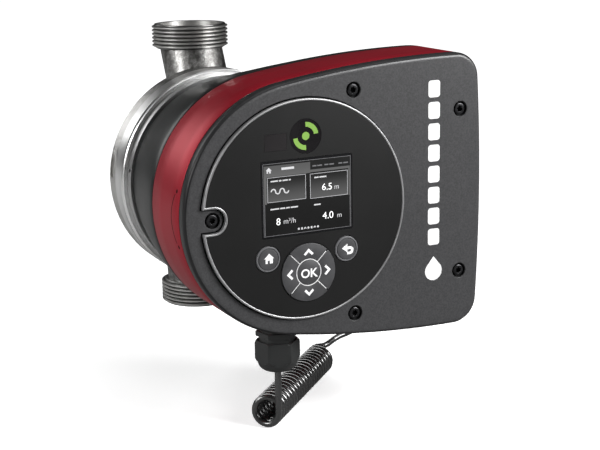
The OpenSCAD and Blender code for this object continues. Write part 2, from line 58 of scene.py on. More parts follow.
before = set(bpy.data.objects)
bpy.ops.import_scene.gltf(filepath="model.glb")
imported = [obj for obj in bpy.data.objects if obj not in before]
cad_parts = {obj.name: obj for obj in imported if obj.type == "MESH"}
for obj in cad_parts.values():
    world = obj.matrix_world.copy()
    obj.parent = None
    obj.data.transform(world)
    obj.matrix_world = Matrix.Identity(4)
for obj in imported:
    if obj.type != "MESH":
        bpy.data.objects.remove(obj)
CAD_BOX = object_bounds()

MM = 0.001
BODY = "pump"
AXIS_Z = sum(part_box("shaft")[i].z for i in (0, 1)) / 2
BACK_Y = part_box("middle_shell")[1].y / MM
SHELL_FRONT_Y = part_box("middle_shell")[0].y / MM
FACE_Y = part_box("front_cover")[0].y / MM
PANEL_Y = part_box("panel_disc")[0].y / MM
KEY_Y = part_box("key_ok")[0].y / MM
REAR_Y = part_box("rear_cover")[1].y / MM
HEAD_LEFT = -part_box("middle_shell")[0].x / MM
HEAD_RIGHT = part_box("middle_shell")[1].x / MM
HEAD_HALF = (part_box("middle_shell")[1].z - AXIS_Z) / MM
NUT_LOW, NUT_HIGH = (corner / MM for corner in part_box("gland_nut"))
NUT_X, NUT_Y = (NUT_LOW.x + NUT_HIGH.x) / 2, (NUT_LOW.y + NUT_HIGH.y) / 2

SCREW_PLACES = [(30.5, 63.4), (99.4, 47.5), (30.5, -63.4), (99.4, -47.5), (-54.8, 0)]
NOTCH_X = -54.8
THREAD_RADIUS = 23.9
SCREEN = (0.5, 8)
FULL_OUTLINE_Y = -103.0
SKIRT_BACK_Y, SKIRT_FRONT_Y, CAP_BACK_Y = -159.3, -160.3, -159.7
WELD = 2e-6
LEAD_TAIL = [
    (62.6, -62.2, -24.8), (68.5, -59.6, -23.4), (74, -58.3, -22), (80.8, -57.4, -20.9), (87, -55.6, -19.6),
    (91.4, -52.6, -17.6), (94.6, -47.8, -14.2), (96.3, -41.5, -10.2), (96.2, -34.5, -6), (94, -27, -1.6),
    (90.2, -20.5, 2.6), (85.2, -15.6, 6.6), (79.8, -12.8, 10.6), (75, -12, 15), (70.6, -12, 19.4),
    (66.47, -12, 23.53),
]
PAD = (0.3, -34.8)
ROUND_KEYS = {"key_home": (-24, -24.5), "key_back": (24, -24.5)}
ARROW_KEYS = {"key_right": 0, "key_up": 90, "key_left": 180, "key_down": 270}


# ---------------------------------------------------------------- settings


def measure(name, description, millimetres):
    return FloatProperty(name=name, description=description, unit="LENGTH", min=0, default=millimetres * MM)


class PumpSizes(bpy.types.PropertyGroup):
    """Sizes of the pieces made here"""

    corner: measure("Corner radius", "Radius of the two right-hand corners", 15)
    wall: measure("Shell wall", "Wall of the box shells", 2.6)
    fillet: measure("Face fillet", "Rounding between the face and the side", 2.6)
    seam: measure("Seam depth", "Depth of the groove where two shells meet", 1.0)
    panel_radius: measure("Panel radius", "Radius of the bright rim", 61.3)
    notch: measure("Notch radius", "Radius of the rim round the left screw", 6.7)
    key_radius: measure("Key radius", "Radius of the two round keys", 7.2)
    pad_radius: measure("Pad radius", "Radius of the arrow pad", 16.4)
    cord: measure("Cord diameter", "Diameter of the sensor lead", 3.9)
    coil: measure("Curl diameter", "Outside diameter of the curl", 19.4)
    screw_radius: measure("Screw head", "Radius of a cover screw's head", 3.35)
    turns: FloatProperty(name="Turns", description="Turns in the curl, ending at its top", min=1, default=21.75)
    screw_seed: IntProperty(name="Screw seed", description="Seed for how far each screw is turned", default=4)


def colour(name, description, value):
    return FloatVectorProperty(name=name, description=description, subtype="COLOR", size=3, min=0, max=1, default=value)


class PumpColours(bpy.types.PropertyGroup):
    """Base colours of the finishes"""

    steel: colour("Stainless", "Cast and turned stainless steel", (0.66, 0.655, 0.64))
    bright: colour("Clamp", "Rolled clamp strip", (0.88, 0.88, 0.875))
    motor: colour("Motor", "Cast aluminium motor shell", (0.56, 0.56, 0.56))
    rear: colour("Rear cover", "Black moulded rear cover", (0.009, 0.010, 0.010))
    red: colour("Red shell", "Red metallic coat of the middle shell", (0.32, 0.006, 0.018))
    face: colour("Front cover", "Textured dark grey front cover", (0.052, 0.052, 0.054))
    panel: colour("Panel", "Gloss black operating panel", (0.004, 0.004, 0.004))
    rim: colour("Rim", "Satin silver rim of the panel", (0.36, 0.36, 0.365))
    key: colour("Keys", "Dark grey key caps", (0.055, 0.055, 0.058))
    ink: colour("Print", "White print on the face and keys", (0.86, 0.86, 0.86))
    light: colour("Status light", "Green status light", (0.17, 0.31, 0.065))
    cord: colour("Lead", "Black lead sheath", (0.010, 0.010, 0.010))
    gland: colour("Gland", "Black moulded gland", (0.020, 0.021, 0.021))
    floor: colour("Floor", "Pale floor", (0.94, 0.94, 0.94))


def size(name):
    """A length from the settings, in millimetres."""
    return getattr(bpy.context.scene.pump_sizes, name) / MM


def tint(name):
    return tuple(getattr(bpy.context.scene.pump_colours, name)) + (1.0,)


# ---------------------------------------------------------------- mesh helpers


def at(x, y, z):
    """A point given in millimetres from the motor axis, in the frame's metres."""
    return Vector((x * MM, y * MM, AXIS_Z + z * MM))


def tidy_mesh(mesh, sharp=32):
    """Welds, points the faces outwards and keeps edges sharper than an angle crisp."""
    work = bmesh.new()
    work.from_mesh(mesh)
    bmesh.ops.remove_doubles(work, verts=work.verts, dist=WELD)
    bmesh.ops.dissolve_degenerate(work, edges=work.edges, dist=WELD / 20)
    bmesh.ops.recalc_face_normals(work, faces=work.faces)
    limit = math.radians(sharp)
    for edge in work.edges:
        edge.smooth = len(edge.link_faces) == 2 and edge.calc_face_angle(0) < limit
    for face in work.faces:
        face.smooth = True
    work.to_mesh(mesh)
    work.free()


def add_object(name, data):
    """An object in the scene that shows the data."""
    made = bpy.data.objects.new(name, data)
    bpy.context.scene.collection.objects.link(made)
    return made


def evaluated_mesh(piece):
    """A mesh of what a piece's modifiers or its lettering come out as."""
    bpy.context.view_layer.update()
    return bpy.data.meshes.new_from_object(piece.evaluated_get(bpy.context.evaluated_depsgraph_get()))


def make_piece(name, points, faces, materials=(), indices=None, sharp=32):
    mesh = bpy.data.meshes.new(name)
    mesh.from_pydata([tuple(p) for p in points], [], faces)
    for material in materials:
        mesh.materials.append(material)
    if indices:
        mesh.polygons.foreach_set("material_index", indices)
    tidy_mesh(mesh, sharp)
    return add_object(name, mesh)


def loft(rings, closed=False):
    """Points and faces through rings of equal length: closed joins the last ring to the first, otherwise both ends
    are capped."""
    count = len(rings[0])
    points = [p for ring in rings for p in ring]
    faces = []
    for i in range(len(rings) if closed else len(rings) - 1):
        a, b = i * count, (i + 1) % len(rings) * count
        for j in range(count):
            k = (j + 1) % count
            faces.append([a + j, a + k, b + k, b + j])
    if not closed:
        faces.append(list(range(count))[::-1])
        faces.append([(len(rings) - 1) * count + j for j in range(count)])
    return points, faces


def merge(parts):
    """One list of points and faces out of several."""
    points, faces, indices = [], [], []
    for number, (some_points, some_faces) in parts:
        start = len(points)
        points += some_points
        faces += [[start + n for n in face] for face in some_faces]
        indices += [number] * len(some_faces)
    return points, faces, indices


def angles(count, start=0.0):
    return [start + 2 * math.pi * i / count for i in range(count)]


def on_circle(centre, radius, turns):
    return [(centre[0] + radius * math.cos(a), centre[1] + radius * math.sin(a)) for a in turns]


def circle(centre, radius, count=96):
    return on_circle(centre, radius, angles(count))


def spun(outline, turn, x=0, z=0):
    """A flat outline turned by degrees about its origin and moved to a place."""
    c, s = math.cos(math.radians(turn)), math.sin(math.radians(turn))
    return [(x + px * c - pz * s, z + px * s + pz * c) for px, pz in outline]


def turned(centre, profile, count=96, closed=False):
    """A shape turned about a line along Y: profile is (radius, y) from the front centre round to the back."""
    return loft([[at(x, y, z) for x, z in circle(centre, r, count)] for r, y in profile], closed)


def slab(outline, back, front, bevel=0.0, steps=3):
    """A flat plate with the given front view and a rounded front edge, as rings moved in towards its middle."""
    rings = [[at(x, back, z) for x, z in outline]]
    if bevel:
        for i in range(steps + 1):
            a = math.pi / 2 * i / steps
            inner = inset_outline(outline, bevel * (1 - math.cos(a)))
            rings.append([at(x, front + bevel * (1 - math.sin(a)), z) for x, z in inner])
    else:
        rings.append([at(x, front, z) for x, z in outline])
    return loft(rings)


def inset_outline(outline, distance):
    """Moves each corner of a closed outline in along the mean of its two edge normals."""
    area = sum(a[0] * b[1] - b[0] * a[1] for a, b in zip(outline, outline[1:] + outline[:1]))
    side = 1 if area > 0 else -1
    moved = []
    count = len(outline)
    for i in range(count):
        before, here, after = (Vector(outline[j % count]) for j in (i - 1, i, i + 1))
        one, two = (here - before).normalized(), (after - here).normalized()
        normal = Vector((-(one + two).y, (one + two).x))
        if normal.length < 1e-9:
            moved.append(tuple(here))
            continue
        normal.normalize()
        slope = max(0.35, normal.dot(Vector((-one.y, one.x))))
        moved.append(tuple(here + side * normal * distance / slope))
    return moved


def cut(piece, tools):
    """Takes the tools' solids out of a piece and removes the tools."""
    for tool in tools:
        modifier = piece.modifiers.new("cut", "BOOLEAN")
        modifier.operation = "DIFFERENCE"
        modifier.solver = "EXACT"
        modifier.object = tool
    flat = evaluated_mesh(piece)
    piece.modifiers.clear()
    materials = list(piece.data.materials)
    piece.data = flat
    flat.materials.clear()
    for material in materials:
        flat.materials.append(material)
    for tool in tools:
        bpy.data.objects.remove(tool)
    tidy_mesh(flat)


def settle(piece, body, slot, *nodes):
    """Lets a piece ride and hides the CAD nodes that it stands for."""
    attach(piece, body)
    if nodes:
        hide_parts(*nodes)
    return piece


# ---------------------------------------------------------------- outlines


def outline_steps():
    """Arcs of the control box outline as (centre, radius, direction), once round from the right-hand end."""
    corner, half, right, head = size("corner"), HEAD_HALF, HEAD_RIGHT, HEAD_LEFT
    corner_x, corner_z = right - corner - 2, half - corner
    reach = right - corner_x
    bow = (reach**2 + corner_z**2 - corner**2) / (2 * (reach - corner))
    crown = (corner_x**2 + half**2 - head**2) / (2 * (half - head))
    bow_turn = math.asin(corner_z / (bow - corner))
    crown_turn = math.pi / 2 + math.asin(corner_x / (crown - head))
    arcs = [
        ((right - bow, 0), bow, 0, bow_turn, 12),
        ((corner_x, corner_z), corner, bow_turn, math.pi / 2, 22),
        ((corner_x, half - crown), crown, math.pi / 2, crown_turn, 24),
        ((0, 0), head, crown_turn, math.pi, 64),
    ]
    upper = [
        (centre, radius, low + (high - low) * i / count)
        for centre, radius, low, high, count in arcs
        for i in range(count)
    ]
    upper.append(((0, 0), head, math.pi))
    lower = [((c[0], -c[1]), r, -a) for c, r, a in upper[1:-1]][::-1]
    return upper + lower


def box_ring(inset, y):
    return [
        at(c[0] + (r - inset) * math.cos(a), y, c[1] + (r - inset) * math.sin(a)) for c, r, a in outline_steps()
    ]


def round_ring(radius, y):
    return [at(radius * math.cos(a), y, radius * math.sin(a)) for _, _, a in outline_steps()]


def panel_outline(inset):
    """Front view of the panel with its notch, moved in by inset."""
    radius, notch = size("panel_radius") - inset, size("notch") + inset
    opening = math.asin(notch / radius)
    big = [-math.pi + opening + (2 * math.pi - 2 * opening) * i / 200 for i in range(201)]
    points = on_circle((0, 0), radius, big)
    corner = points[-1][0]
    points += [(corner + (NOTCH_X - corner) * i / 4, notch) for i in range(1, 4)]
    small = [math.pi / 2 - math.pi * i / 28 for i in range(29)]
    points += on_circle((NOTCH_X, 0), notch, small)
    points += [(NOTCH_X + (corner - NOTCH_X) * i / 4, -notch) for i in range(1, 4)]
    return points


def panel_rings(places):
    return [[at(x, y, z) for x, z in panel_outline(inset)] for inset, y in places]


# ---------------------------------------------------------------- shading helpers


def node(tree, kind, sockets=None, **settings):
    """Adds a node: sockets gives each input a value or a link, settings its own properties."""
    made = tree.nodes.new(kind)
    for key, value in settings.items():
        setattr(made, key, value)
    feed(made, sockets or {})
    return made


def feed(made, sockets):
    """Gives inputs of a node their values or links."""
    for key, value in sockets.items():
        if isinstance(value, bpy.types.NodeSocket):
            made.id_data.links.new(value, made.inputs[key])
        else:
            made.inputs[key].default_value = value


def axes(tree, vector):
    """The X, Y and Z of a vector."""
    return node(tree, "ShaderNodeSeparateXYZ", {0: vector}).outputs


def off_axis(tree, x, y):
    """How far a point is from the Z axis."""
    across = node(tree, "ShaderNodeCombineXYZ", {0: x, 1: y, 2: 0.0}).outputs[0]
    return node(tree, "ShaderNodeVectorMath", {0: across}, operation="LENGTH").outputs["Value"]


def opened(material):
    """A finish's tree, its surface node and its place in the object."""
    tree = material.node_tree
    return tree, tree.nodes["Principled BSDF"], node(tree, "ShaderNodeTexCoord").outputs["Object"]


def shader_group(name, inputs, outputs):
    """An empty node group with a vector and numbers going in and numbers coming out, or None if it is there already."""
    if name in bpy.data.node_groups:
        return None
    tree = bpy.data.node_groups.new(name, "ShaderNodeTree")
    tree.interface.new_socket("Vector", in_out="INPUT", socket_type="NodeSocketVector")
    for label, value in inputs.items():
        tree.interface.new_socket(label, in_out="INPUT", socket_type="NodeSocketFloat").default_value = value
    for label in outputs:
        tree.interface.new_socket(label, in_out="OUTPUT", socket_type="NodeSocketFloat")
    return tree


def grain_group():
    """Two sizes of random grain: a height for a bump and a slow patchiness for colour and gloss."""
    tree = shader_group("surface grain", {"Fine": 2000, "Broad": 60}, ["Height", "Patches"])
    if tree is None:
        return bpy.data.node_groups["surface grain"]
    inside = node(tree, "NodeGroupInput").outputs
    fine = node(
        tree, "ShaderNodeTexNoise", {"Vector": inside["Vector"], "Scale": inside["Fine"], "Detail": 4, "Roughness": 0.6}
    )
    broad = node(
        tree, "ShaderNodeTexNoise",
        {"Vector": inside["Vector"], "Scale": inside["Broad"], "Detail": 3, "Roughness": 0.5}
    )
    node(tree, "NodeGroupOutput", {"Height": fine.outputs["Fac"], "Patches": broad.outputs["Fac"]})
    return tree


def lathe_group():
    """Fine rings left by turning round Z: levels along the pipe and circles on the end faces."""
    tree = shader_group("lathe marks", {"Rings": 900}, ["Height"])
    if tree is None:
        return bpy.data.node_groups["lathe marks"]
    inside = node(tree, "NodeGroupInput").outputs
    x, y, z = axes(tree, inside["Vector"])
    total = maths(tree, "ADD", off_axis(tree, x, y), z)
    line = node(tree, "ShaderNodeCombineXYZ", {0: total, 1: 0.0, 2: 0.0}).outputs[0]
    marks = node(tree, "ShaderNodeTexNoise", {"Vector": line, "Scale": inside["Rings"], "Detail": 2})
    node(tree, "NodeGroupOutput", {"Height": marks.outputs["Fac"]})
    return tree


def dust_group():
    """A thin mask on what faces up, broken up by noise."""
    tree = shader_group("light dust", {"Amount": 0.2}, ["Mask"])
    if tree is None:
        return bpy.data.node_groups["light dust"]
    inside = node(tree, "NodeGroupInput").outputs
    normal = node(tree, "ShaderNodeNewGeometry").outputs["Normal"]
    facing = remap(tree, axes(tree, normal)["Z"], 0.2, 1.0)
    noise = node(tree, "ShaderNodeTexNoise", {"Vector": inside["Vector"], "Scale": 180, "Detail": 5})
    both = maths(tree, "MULTIPLY", facing, remap(tree, noise.outputs["Fac"], 0.4, 0.75))
    node(tree, "NodeGroupOutput", {"Mask": maths(tree, "MULTIPLY", both, inside["Amount"])})
    return tree


def mix_colour(tree, factor, one, two):
    return node(tree, "ShaderNodeMix", {0: factor, 6: one, 7: two}, data_type="RGBA").outputs[2]


def remap(tree, value, low, high, to_low=0.0, to_high=1.0, smooth=False):
    return node(
        tree,
        "ShaderNodeMapRange",
        {"Value": value, "From Min": low, "From Max": high, "To Min": to_low, "To Max": to_high},
        interpolation_type="SMOOTHSTEP" if smooth else "LINEAR",
    ).outputs[0]


def maths(tree, operation, *values):
    return node(tree, "ShaderNodeMath", dict(enumerate(values)), operation=operation).outputs[0]


def shade(scale, base):
    return tuple(min(1.0, c * scale) for c in base[:3]) + (1.0,)


def finish(
    name,
    base,
    rough=(0.35, 0.45),
    metallic=0.0,
    fine=2000,
    broad=60,
    bump=0.1,
    depth=0.0001,
    patch=(0.9, 1.1),
    dust=0.1,
    coat=0.0,
    coat_rough=0.1,
    specular=0.5,
    stretch=(1, 1, 1),
):
    """A procedural finish: colour and gloss drift in patches, grain stands up in a bump, and tops carry some dust."""
    if name in bpy.data.materials:
        return bpy.data.materials[name]
    material = bpy.data.materials.new(name)
    material.use_nodes = True
    tree, surface, place = opened(material)
    scaled = node(tree, "ShaderNodeMapping", {"Vector": place, "Scale": stretch}).outputs[0]
    grain = node(
        tree, "ShaderNodeGroup", {"Vector": scaled, "Fine": fine, "Broad": broad}, node_tree=grain_group()
    ).outputs
    powder = node(tree, "ShaderNodeGroup", {"Vector": place, "Amount": dust}, node_tree=dust_group()).outputs["Mask"]
    patches = remap(tree, grain["Patches"], 0.25, 0.75, smooth=True)
    drift = mix_colour(tree, patches, shade(patch[0], base), shade(patch[1], base))
    dusty = mix_colour(tree, powder, drift, shade(1.0, (0.42, 0.41, 0.39)))
    gloss = remap(tree, patches, 0.0, 1.0, rough[0], rough[1])
    raised = node(tree, "ShaderNodeBump", {"Strength": bump, "Distance": depth, "Height": grain["Height"]}).outputs[0]
    feed(surface, {"Base Color": dusty, "Roughness": gloss, "Metallic": metallic, "Specular IOR Level": specular})
    feed(surface, {"Coat Weight": coat, "Coat Roughness": coat_rough, "Normal": raised})
    return material


def glow(name, base, strength, rough=0.4):
    """A print that gives its own light: on the screen it makes up for the dark glass in front of it; on the face and
    the keys, which give no light, it is a painted glow.
    """
    material = finish(name, base, rough=(rough, rough + 0.1), bump=0.02, dust=0.0, patch=(0.97, 1.03), specular=0.2)
    feed(material.node_tree.nodes["Principled BSDF"], {"Emission Color": base, "Emission Strength": strength})
    return material


def paint(*names, material):
    """Gives CAD nodes a finish in place of their plain one."""
    for name in names:
        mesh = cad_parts[name].data
        mesh.materials.clear()
        mesh.materials.append(material)


# ---------------------------------------------------------------- finishes with zones


def cast_stainless():
    """Cast body with streaky rough necks and turned ports."""
    material = finish(
        "cast stainless", tint("steel"), rough=(0.28, 0.46), metallic=1.0, fine=1100, broad=210, bump=0.5,
        depth=0.0004, patch=(0.85, 1.05), dust=0.02, stretch=(1, 1, 0.6),
    )
    tree = material.node_tree
    surface = tree.nodes["Principled BSDF"]
    if surface.inputs["Normal"].links[0].from_node.name == "joined relief":
        return material
    place = node(tree, "ShaderNodeTexCoord").outputs["Object"]
    x, y, height = axes(tree, place)
    from_middle = maths(tree, "ABSOLUTE", maths(tree, "SUBTRACT", height, AXIS_Z))
    turned_zone = remap(tree, from_middle, 0.0748, 0.0755)
    rings = node(
        tree, "ShaderNodeGroup", {"Vector": place, "Rings": 1500}, node_tree=lathe_group()
    ).outputs["Height"]
    old = surface.inputs["Normal"].links[0].from_node
    grain = old.inputs["Height"].links[0].from_socket
    quiet = maths(tree, "MULTIPLY", grain, maths(tree, "SUBTRACT", 1.0, maths(tree, "MULTIPLY", turned_zone, 0.95)))
    marks = maths(tree, "MULTIPLY", rings, maths(tree, "MULTIPLY", turned_zone, 0.03))
    relief = node(
        tree, "ShaderNodeBump",
        {"Strength": 0.5, "Distance": 0.0004, "Height": maths(tree, "ADD", quiet, marks)},
    )
    relief.name = "joined relief"
    feed(surface, {"Normal": relief.outputs[0]})
    tree.nodes.remove(old)
    # Darker noisy patches on the necks between the body and the ports: partly the cast surface's own mottle, partly
    # painted shade that darkens the necks as a whole.
    neck = maths(tree, "SUBTRACT", remap(tree, from_middle, 0.044, 0.066, smooth=True), turned_zone)
    specks = node(tree, "ShaderNodeTexNoise", {"Vector": place, "Scale": 300, "Detail": 6, "Roughness": 0.75})
    mottle_and_painted_shade = maths(tree, "MULTIPLY", remap(tree, specks.outputs["Fac"], 0.38, 0.68, 0.95, 0.55, smooth=True), neck)
    old_base = surface.inputs["Base Color"].links[0].from_socket
    mottled_and_shaded = mix_colour(tree, mottle_and_painted_shade, old_base, (0.10, 0.098, 0.094, 1))
    # Painted shade: the thread valleys of the turned ports, below the crests, are darkened towards near black.
    radius = off_axis(tree, x, y)
    crest = THREAD_RADIUS * MM
    below = remap(tree, radius, crest - 0.0014, crest - 0.0004, 1.0, 0.0, smooth=True)
    outside = maths(tree, "GREATER_THAN", radius, crest - 0.003)
    thread_valley_shade = maths(tree, "MULTIPLY", maths(tree, "MULTIPLY", below, outside), turned_zone)
    thread_valley_shade = maths(tree, "MULTIPLY", thread_valley_shade, 0.86)
    feed(surface, {"Base Color": mix_colour(tree, thread_valley_shade, mottled_and_shaded, (0.045, 0.044, 0.042, 1))})
    gloss = surface.inputs["Roughness"].links[0].from_socket
    even = maths(tree, "MULTIPLY", maths(tree, "SUBTRACT", 0.34, gloss), turned_zone)
    feed(surface, {"Roughness": maths(tree, "ADD", gloss, even)})
    return material


def brushed(name, base, rough, around_y=True, bump=0.12):
    """Fine lines round the motor axis, as a rolled or turned strip has."""
    stretch = (0.03, 1, 0.03) if around_y else (1, 1, 0.03)
    return finish(
        name, base, rough=rough, metallic=1.0, fine=2600, broad=90, bump=bump, depth=0.00006, patch=(0.9, 1.06),
        dust=0.02, stretch=stretch,
    )


def red_coat():
    """Metallic red coat with the fine dark arc of a blanking plug at the left, and two dark discs of painted shade
    where its two recesses are.
    """
    if "red coat" in bpy.data.materials:
        return bpy.data.materials["red coat"]
    material = finish(
        "red coat", tint("red"), rough=(0.38, 0.41), metallic=0.5, fine=3800, broad=26, bump=0.06, depth=0.00005,
        patch=(0.95, 1.05), dust=0.01, specular=0.45,
    )
    tree, surface, place = opened(material)
    x, y, z = axes(tree, place)
    up = maths(tree, "SUBTRACT", z, AXIS_Z)
    left = maths(tree, "LESS_THAN", x, -0.05)

    def far_from(centre_y, centre_z):
        dy = maths(tree, "SUBTRACT", y, centre_y * MM)
        dz = maths(tree, "SUBTRACT", up, centre_z * MM)
        squares = maths(tree, "ADD", maths(tree, "MULTIPLY", dy, dy), maths(tree, "MULTIPLY", dz, dz))
        return maths(tree, "SQRT", squares)

    off_arc = maths(tree, "ABSOLUTE", maths(tree, "SUBTRACT", far_from(-168.2, 0), 0.0262))
    line = remap(tree, off_arc, 0.00022, 0.00055, 1.0, 0.0)
    within = maths(tree, "LESS_THAN", maths(tree, "ABSOLUTE", up), 0.0135)
    front_half = maths(tree, "GREATER_THAN", y, -0.1475)
    line = maths(tree, "MULTIPLY", line, maths(tree, "MULTIPLY", within, front_half))
    # Painted shade: two dark discs stand in for the shade inside the plug's two small recesses, which are not cut into
    # the mesh.
    hole_shade = [remap(tree, far_from(-147.5, side * 15.3), 0.0009, 0.0013, 1.0, 0.0) for side in (-1, 1)]
    mask = maths(tree, "MAXIMUM", line, maths(tree, "MAXIMUM", *hole_shade))
    mask = maths(tree, "MULTIPLY", mask, left)
    old = surface.inputs["Base Color"].links[0].from_socket
    gloss = surface.inputs["Roughness"].links[0].from_socket
    marked = mix_colour(tree, mask, old, (0.006, 0.001, 0.001, 1))
    feed(surface, {"Base Color": marked, "Roughness": maths(tree, "MAXIMUM", gloss, mask)})
    return material


def screen_fill(name, low, high, dark, light, power=1.0):
    """A lit field of the screen that grows lighter between two heights above the motor axis."""
    if name in bpy.data.materials:
        return bpy.data.materials[name]
    material = finish(name, (0.004, 0.004, 0.004, 1), rough=(0.4, 0.44), bump=0.02, dust=0.0, specular=0.2)
    tree, surface, place = opened(material)
    share = remap(tree, axes(tree, place)["Z"], AXIS_Z + high * MM, AXIS_Z + low * MM, smooth=True)
    mixed = mix_colour(tree, share, (dark, dark, dark, 1), (light, light, light, 1))
    feed(surface, {"Emission Color": mixed, "Emission Strength": power})
    return material


# ---------------------------------------------------------------- operators


class PieceOperator:
    bl_options = {"REGISTER", "UNDO"}

    def execute(self, context):
        self.build()
        return {"FINISHED"}


class PUMP_OT_stage(PieceOperator, bpy.types.Operator):
    """Makes the camera, the pale floor and the soft studio lights"""

    bl_idname = "pump.stage"
    bl_label = "Camera and stage"

    def paper(self):
        """Pale paper, a little brighter far off, and quieter in reflections than it is to the eye."""
        material = finish("pale floor", tint("floor"), rough=(0.85, 0.9), bump=0.03, fine=120, dust=0.0, patch=(1, 1))
        tree, surface, place = opened(material)
        distance = node(tree, "ShaderNodeVectorMath", {0: place}, operation="LENGTH").outputs["Value"]
        far = remap(tree, distance, 0.35, 1.6, 0.5, 1.0, smooth=True)
        seen = node(tree, "ShaderNodeLightPath").outputs["Is Camera Ray"]
        strength = node(tree, "ShaderNodeMix", {0: seen, 2: 0.05, 3: far}, data_type="FLOAT").outputs[0]
        plain = surface.inputs["Base Color"].links[0].from_socket
        right = remap(tree, axes(tree, place)["X"], -0.3, 0.2, smooth=True)
        mirrored = mix_colour(tree, right, (0.46, 0.46, 0.46, 1), (0.08, 0.08, 0.08, 1))
        feed(surface, {"Base Color": mix_colour(tree, seen, mirrored, plain), "Specular IOR Level": 0.0})
        feed(surface, {"Emission Color": (1, 1, 1, 1), "Emission Strength": strength})
        return material

    def build(self):
        scene = bpy.context.scene
        yaw, pitch, roll = (math.radians(a) for a in (26.097, 13.145, -0.988))
        ahead = Vector((math.sin(yaw) * math.cos(pitch), math.cos(yaw) * math.cos(pitch), -math.sin(pitch)))
        right = Vector((math.cos(yaw), -math.sin(yaw), 0))
        up = right.cross(ahead)
        turned_right = math.cos(roll) * right + math.sin(roll) * up
        turned_up = math.cos(roll) * up - math.sin(roll) * right
        camera = add_object("camera", bpy.data.cameras.new("camera"))
        camera.matrix_world = Matrix.Translation((-0.33052, -0.8284, 0.25549)) @ Matrix(
            (turned_right, turned_up, -ahead)
        ).transposed().to_4x4()
        camera.data.sensor_width = 36
        camera.data.lens = 83.903
        camera.data.clip_start, camera.data.clip_end = 0.02, 60
        scene.camera = camera
        scene.view_settings.view_transform = "Standard"

        low = CAD_BOX[0].z - 0.0001
        rings = [[Vector((x, y, low)) for x, y in circle((0, 0), radius)] for radius in (14.0, 6.0, 1.5)]
        points, faces = loft(rings)
        floor = make_piece("floor", points, faces[:-2] + faces[-1:])
        for face in floor.data.polygons:
            if face.normal.z < 0:
                face.flip()
        floor.data.materials.append(self.paper())

        world = bpy.data.worlds.new("studio")
        world.use_nodes = True
        sky = world.node_tree.nodes["Background"]
        seen = node(world.node_tree, "ShaderNodeLightPath").outputs["Is Camera Ray"]
        strength = node(world.node_tree, "ShaderNodeMix", {0: seen, 2: 0.06, 3: 1.8}, data_type="FLOAT").outputs[0]
        feed(sky, {"Color": (0.56, 0.56, 0.56, 1), "Strength": strength})
        scene.world = world

        def lamp(name, place, target, width, height, power):
            data = bpy.data.lights.new(name, "AREA")
            data.shape, data.size, data.size_y, data.energy = "RECTANGLE", width, height, power
            light = add_object(name, data)
            away = Vector(place) - Vector(target)
            light.matrix_world = Matrix.Translation(place) @ away.to_track_quat("Z", "Y").to_matrix().to_4x4()
            light.visible_camera = False
            return light

        middle = (0.0, -0.08, 0.09)
        lamp("key", (-1.5, -0.15, 0.66), middle, 0.6, 0.6, 15)
        lamp("back left", (-0.85, 1.2, 0.78), middle, 0.9, 0.8, 6.5)
        lamp("right fill", (0.62, -0.76, 0.5), (0.06, -0.16, 0.09), 0.5, 0.5, 15)
        lamp("overhead", (0.2, -0.3, 2.4), (0, 0, 0), 1.6, 1.6, 14)
        card = lamp("low card", (0.167, 0.189, 0.05), (0.026, -0.1, -0.025), 0.42, 0.15, 0.5)
        card.light_linking.receiver_collection = bpy.data.collections.new("lit by the low card")


class PUMP_OT_lead(PieceOperator, bpy.types.Operator):
    """Winds the curly sensor lead from the gland to the sensor as one smooth cord"""

    bl_idname = "pump.lead"
    bl_label = "Sensor lead"

    def build(self):
        radius = size("coil") / 2 - size("cord") / 2
        along = Vector((1, 1, 0)).normalized()
        right = Vector((1, -1, 0)).normalized()
        start_z = -33.0
        centre = Vector((NUT_X, NUT_Y, start_z)) - right * radius
        points = [Vector((NUT_X, NUT_Y, z)) for z in (-1.5, -5, -9, -14, -19, -24, -28.5)]
        reach = 101.5
        turns = bpy.context.scene.pump_sizes.turns
        steps = round(turns * 24)
        for i in range(steps + 1):
            turn = 2 * math.pi * turns * i / steps
            ease = min(1.0, turn / math.pi)
            onward = reach * turn / (2 * math.pi * turns)
            onward -= (1 - ease) ** 2 * 0.5 * onward
            points.append(
                centre + along * onward + radius * (math.cos(turn) * right - math.sin(turn) * Vector((0, 0, 1)))
            )
        tail = [Vector(p) for p in (points[-1], *LEAD_TAIL)]
        for i in range(len(tail) - 1):
            a, b, c, d = (tail[max(0, min(len(tail) - 1, i + k))] for k in (-1, 0, 1, 2))
            if i == 0:
                a = points[-2] - (points[-1] - points[-2]) * 3
            for j in range(1, 4):
                t = j / 3
                points.append(
                    0.5 * (2 * b + (c - a) * t + (2 * a - 5 * b + 4 * c - d) * t**2 + (3 * b - a - 3 * c + d) * t**3)
                )
        data = bpy.data.curves.new("sensor_lead", "CURVE")
        data.dimensions = "3D"
        data.bevel_depth = size("cord") / 2 * MM
        data.bevel_resolution = 4
        data.use_fill_caps = True
        line = data.splines.new("POLY")
        line.points.add(len(points) - 1)
        for spot, p in zip(line.points, points):
            spot.co = (*(p * MM), 1)
        line.use_smooth = True
        data.materials.append(
            finish(
                "lead sheath", tint("cord"), rough=(0.24, 0.32), fine=2500, broad=150, bump=0.06, depth=0.00005,
                dust=0.02, specular=1.0, coat=1.0, coat_rough=0.14,
            )
        )
        lead = add_object("sensor_lead", data)
        settle(lead, BODY, "lead_black", "lead_drop", "lead_coil", "lead_tail")
        bpy.data.collections["lit by the low card"].objects.link(lead)
        size("cord") * MM


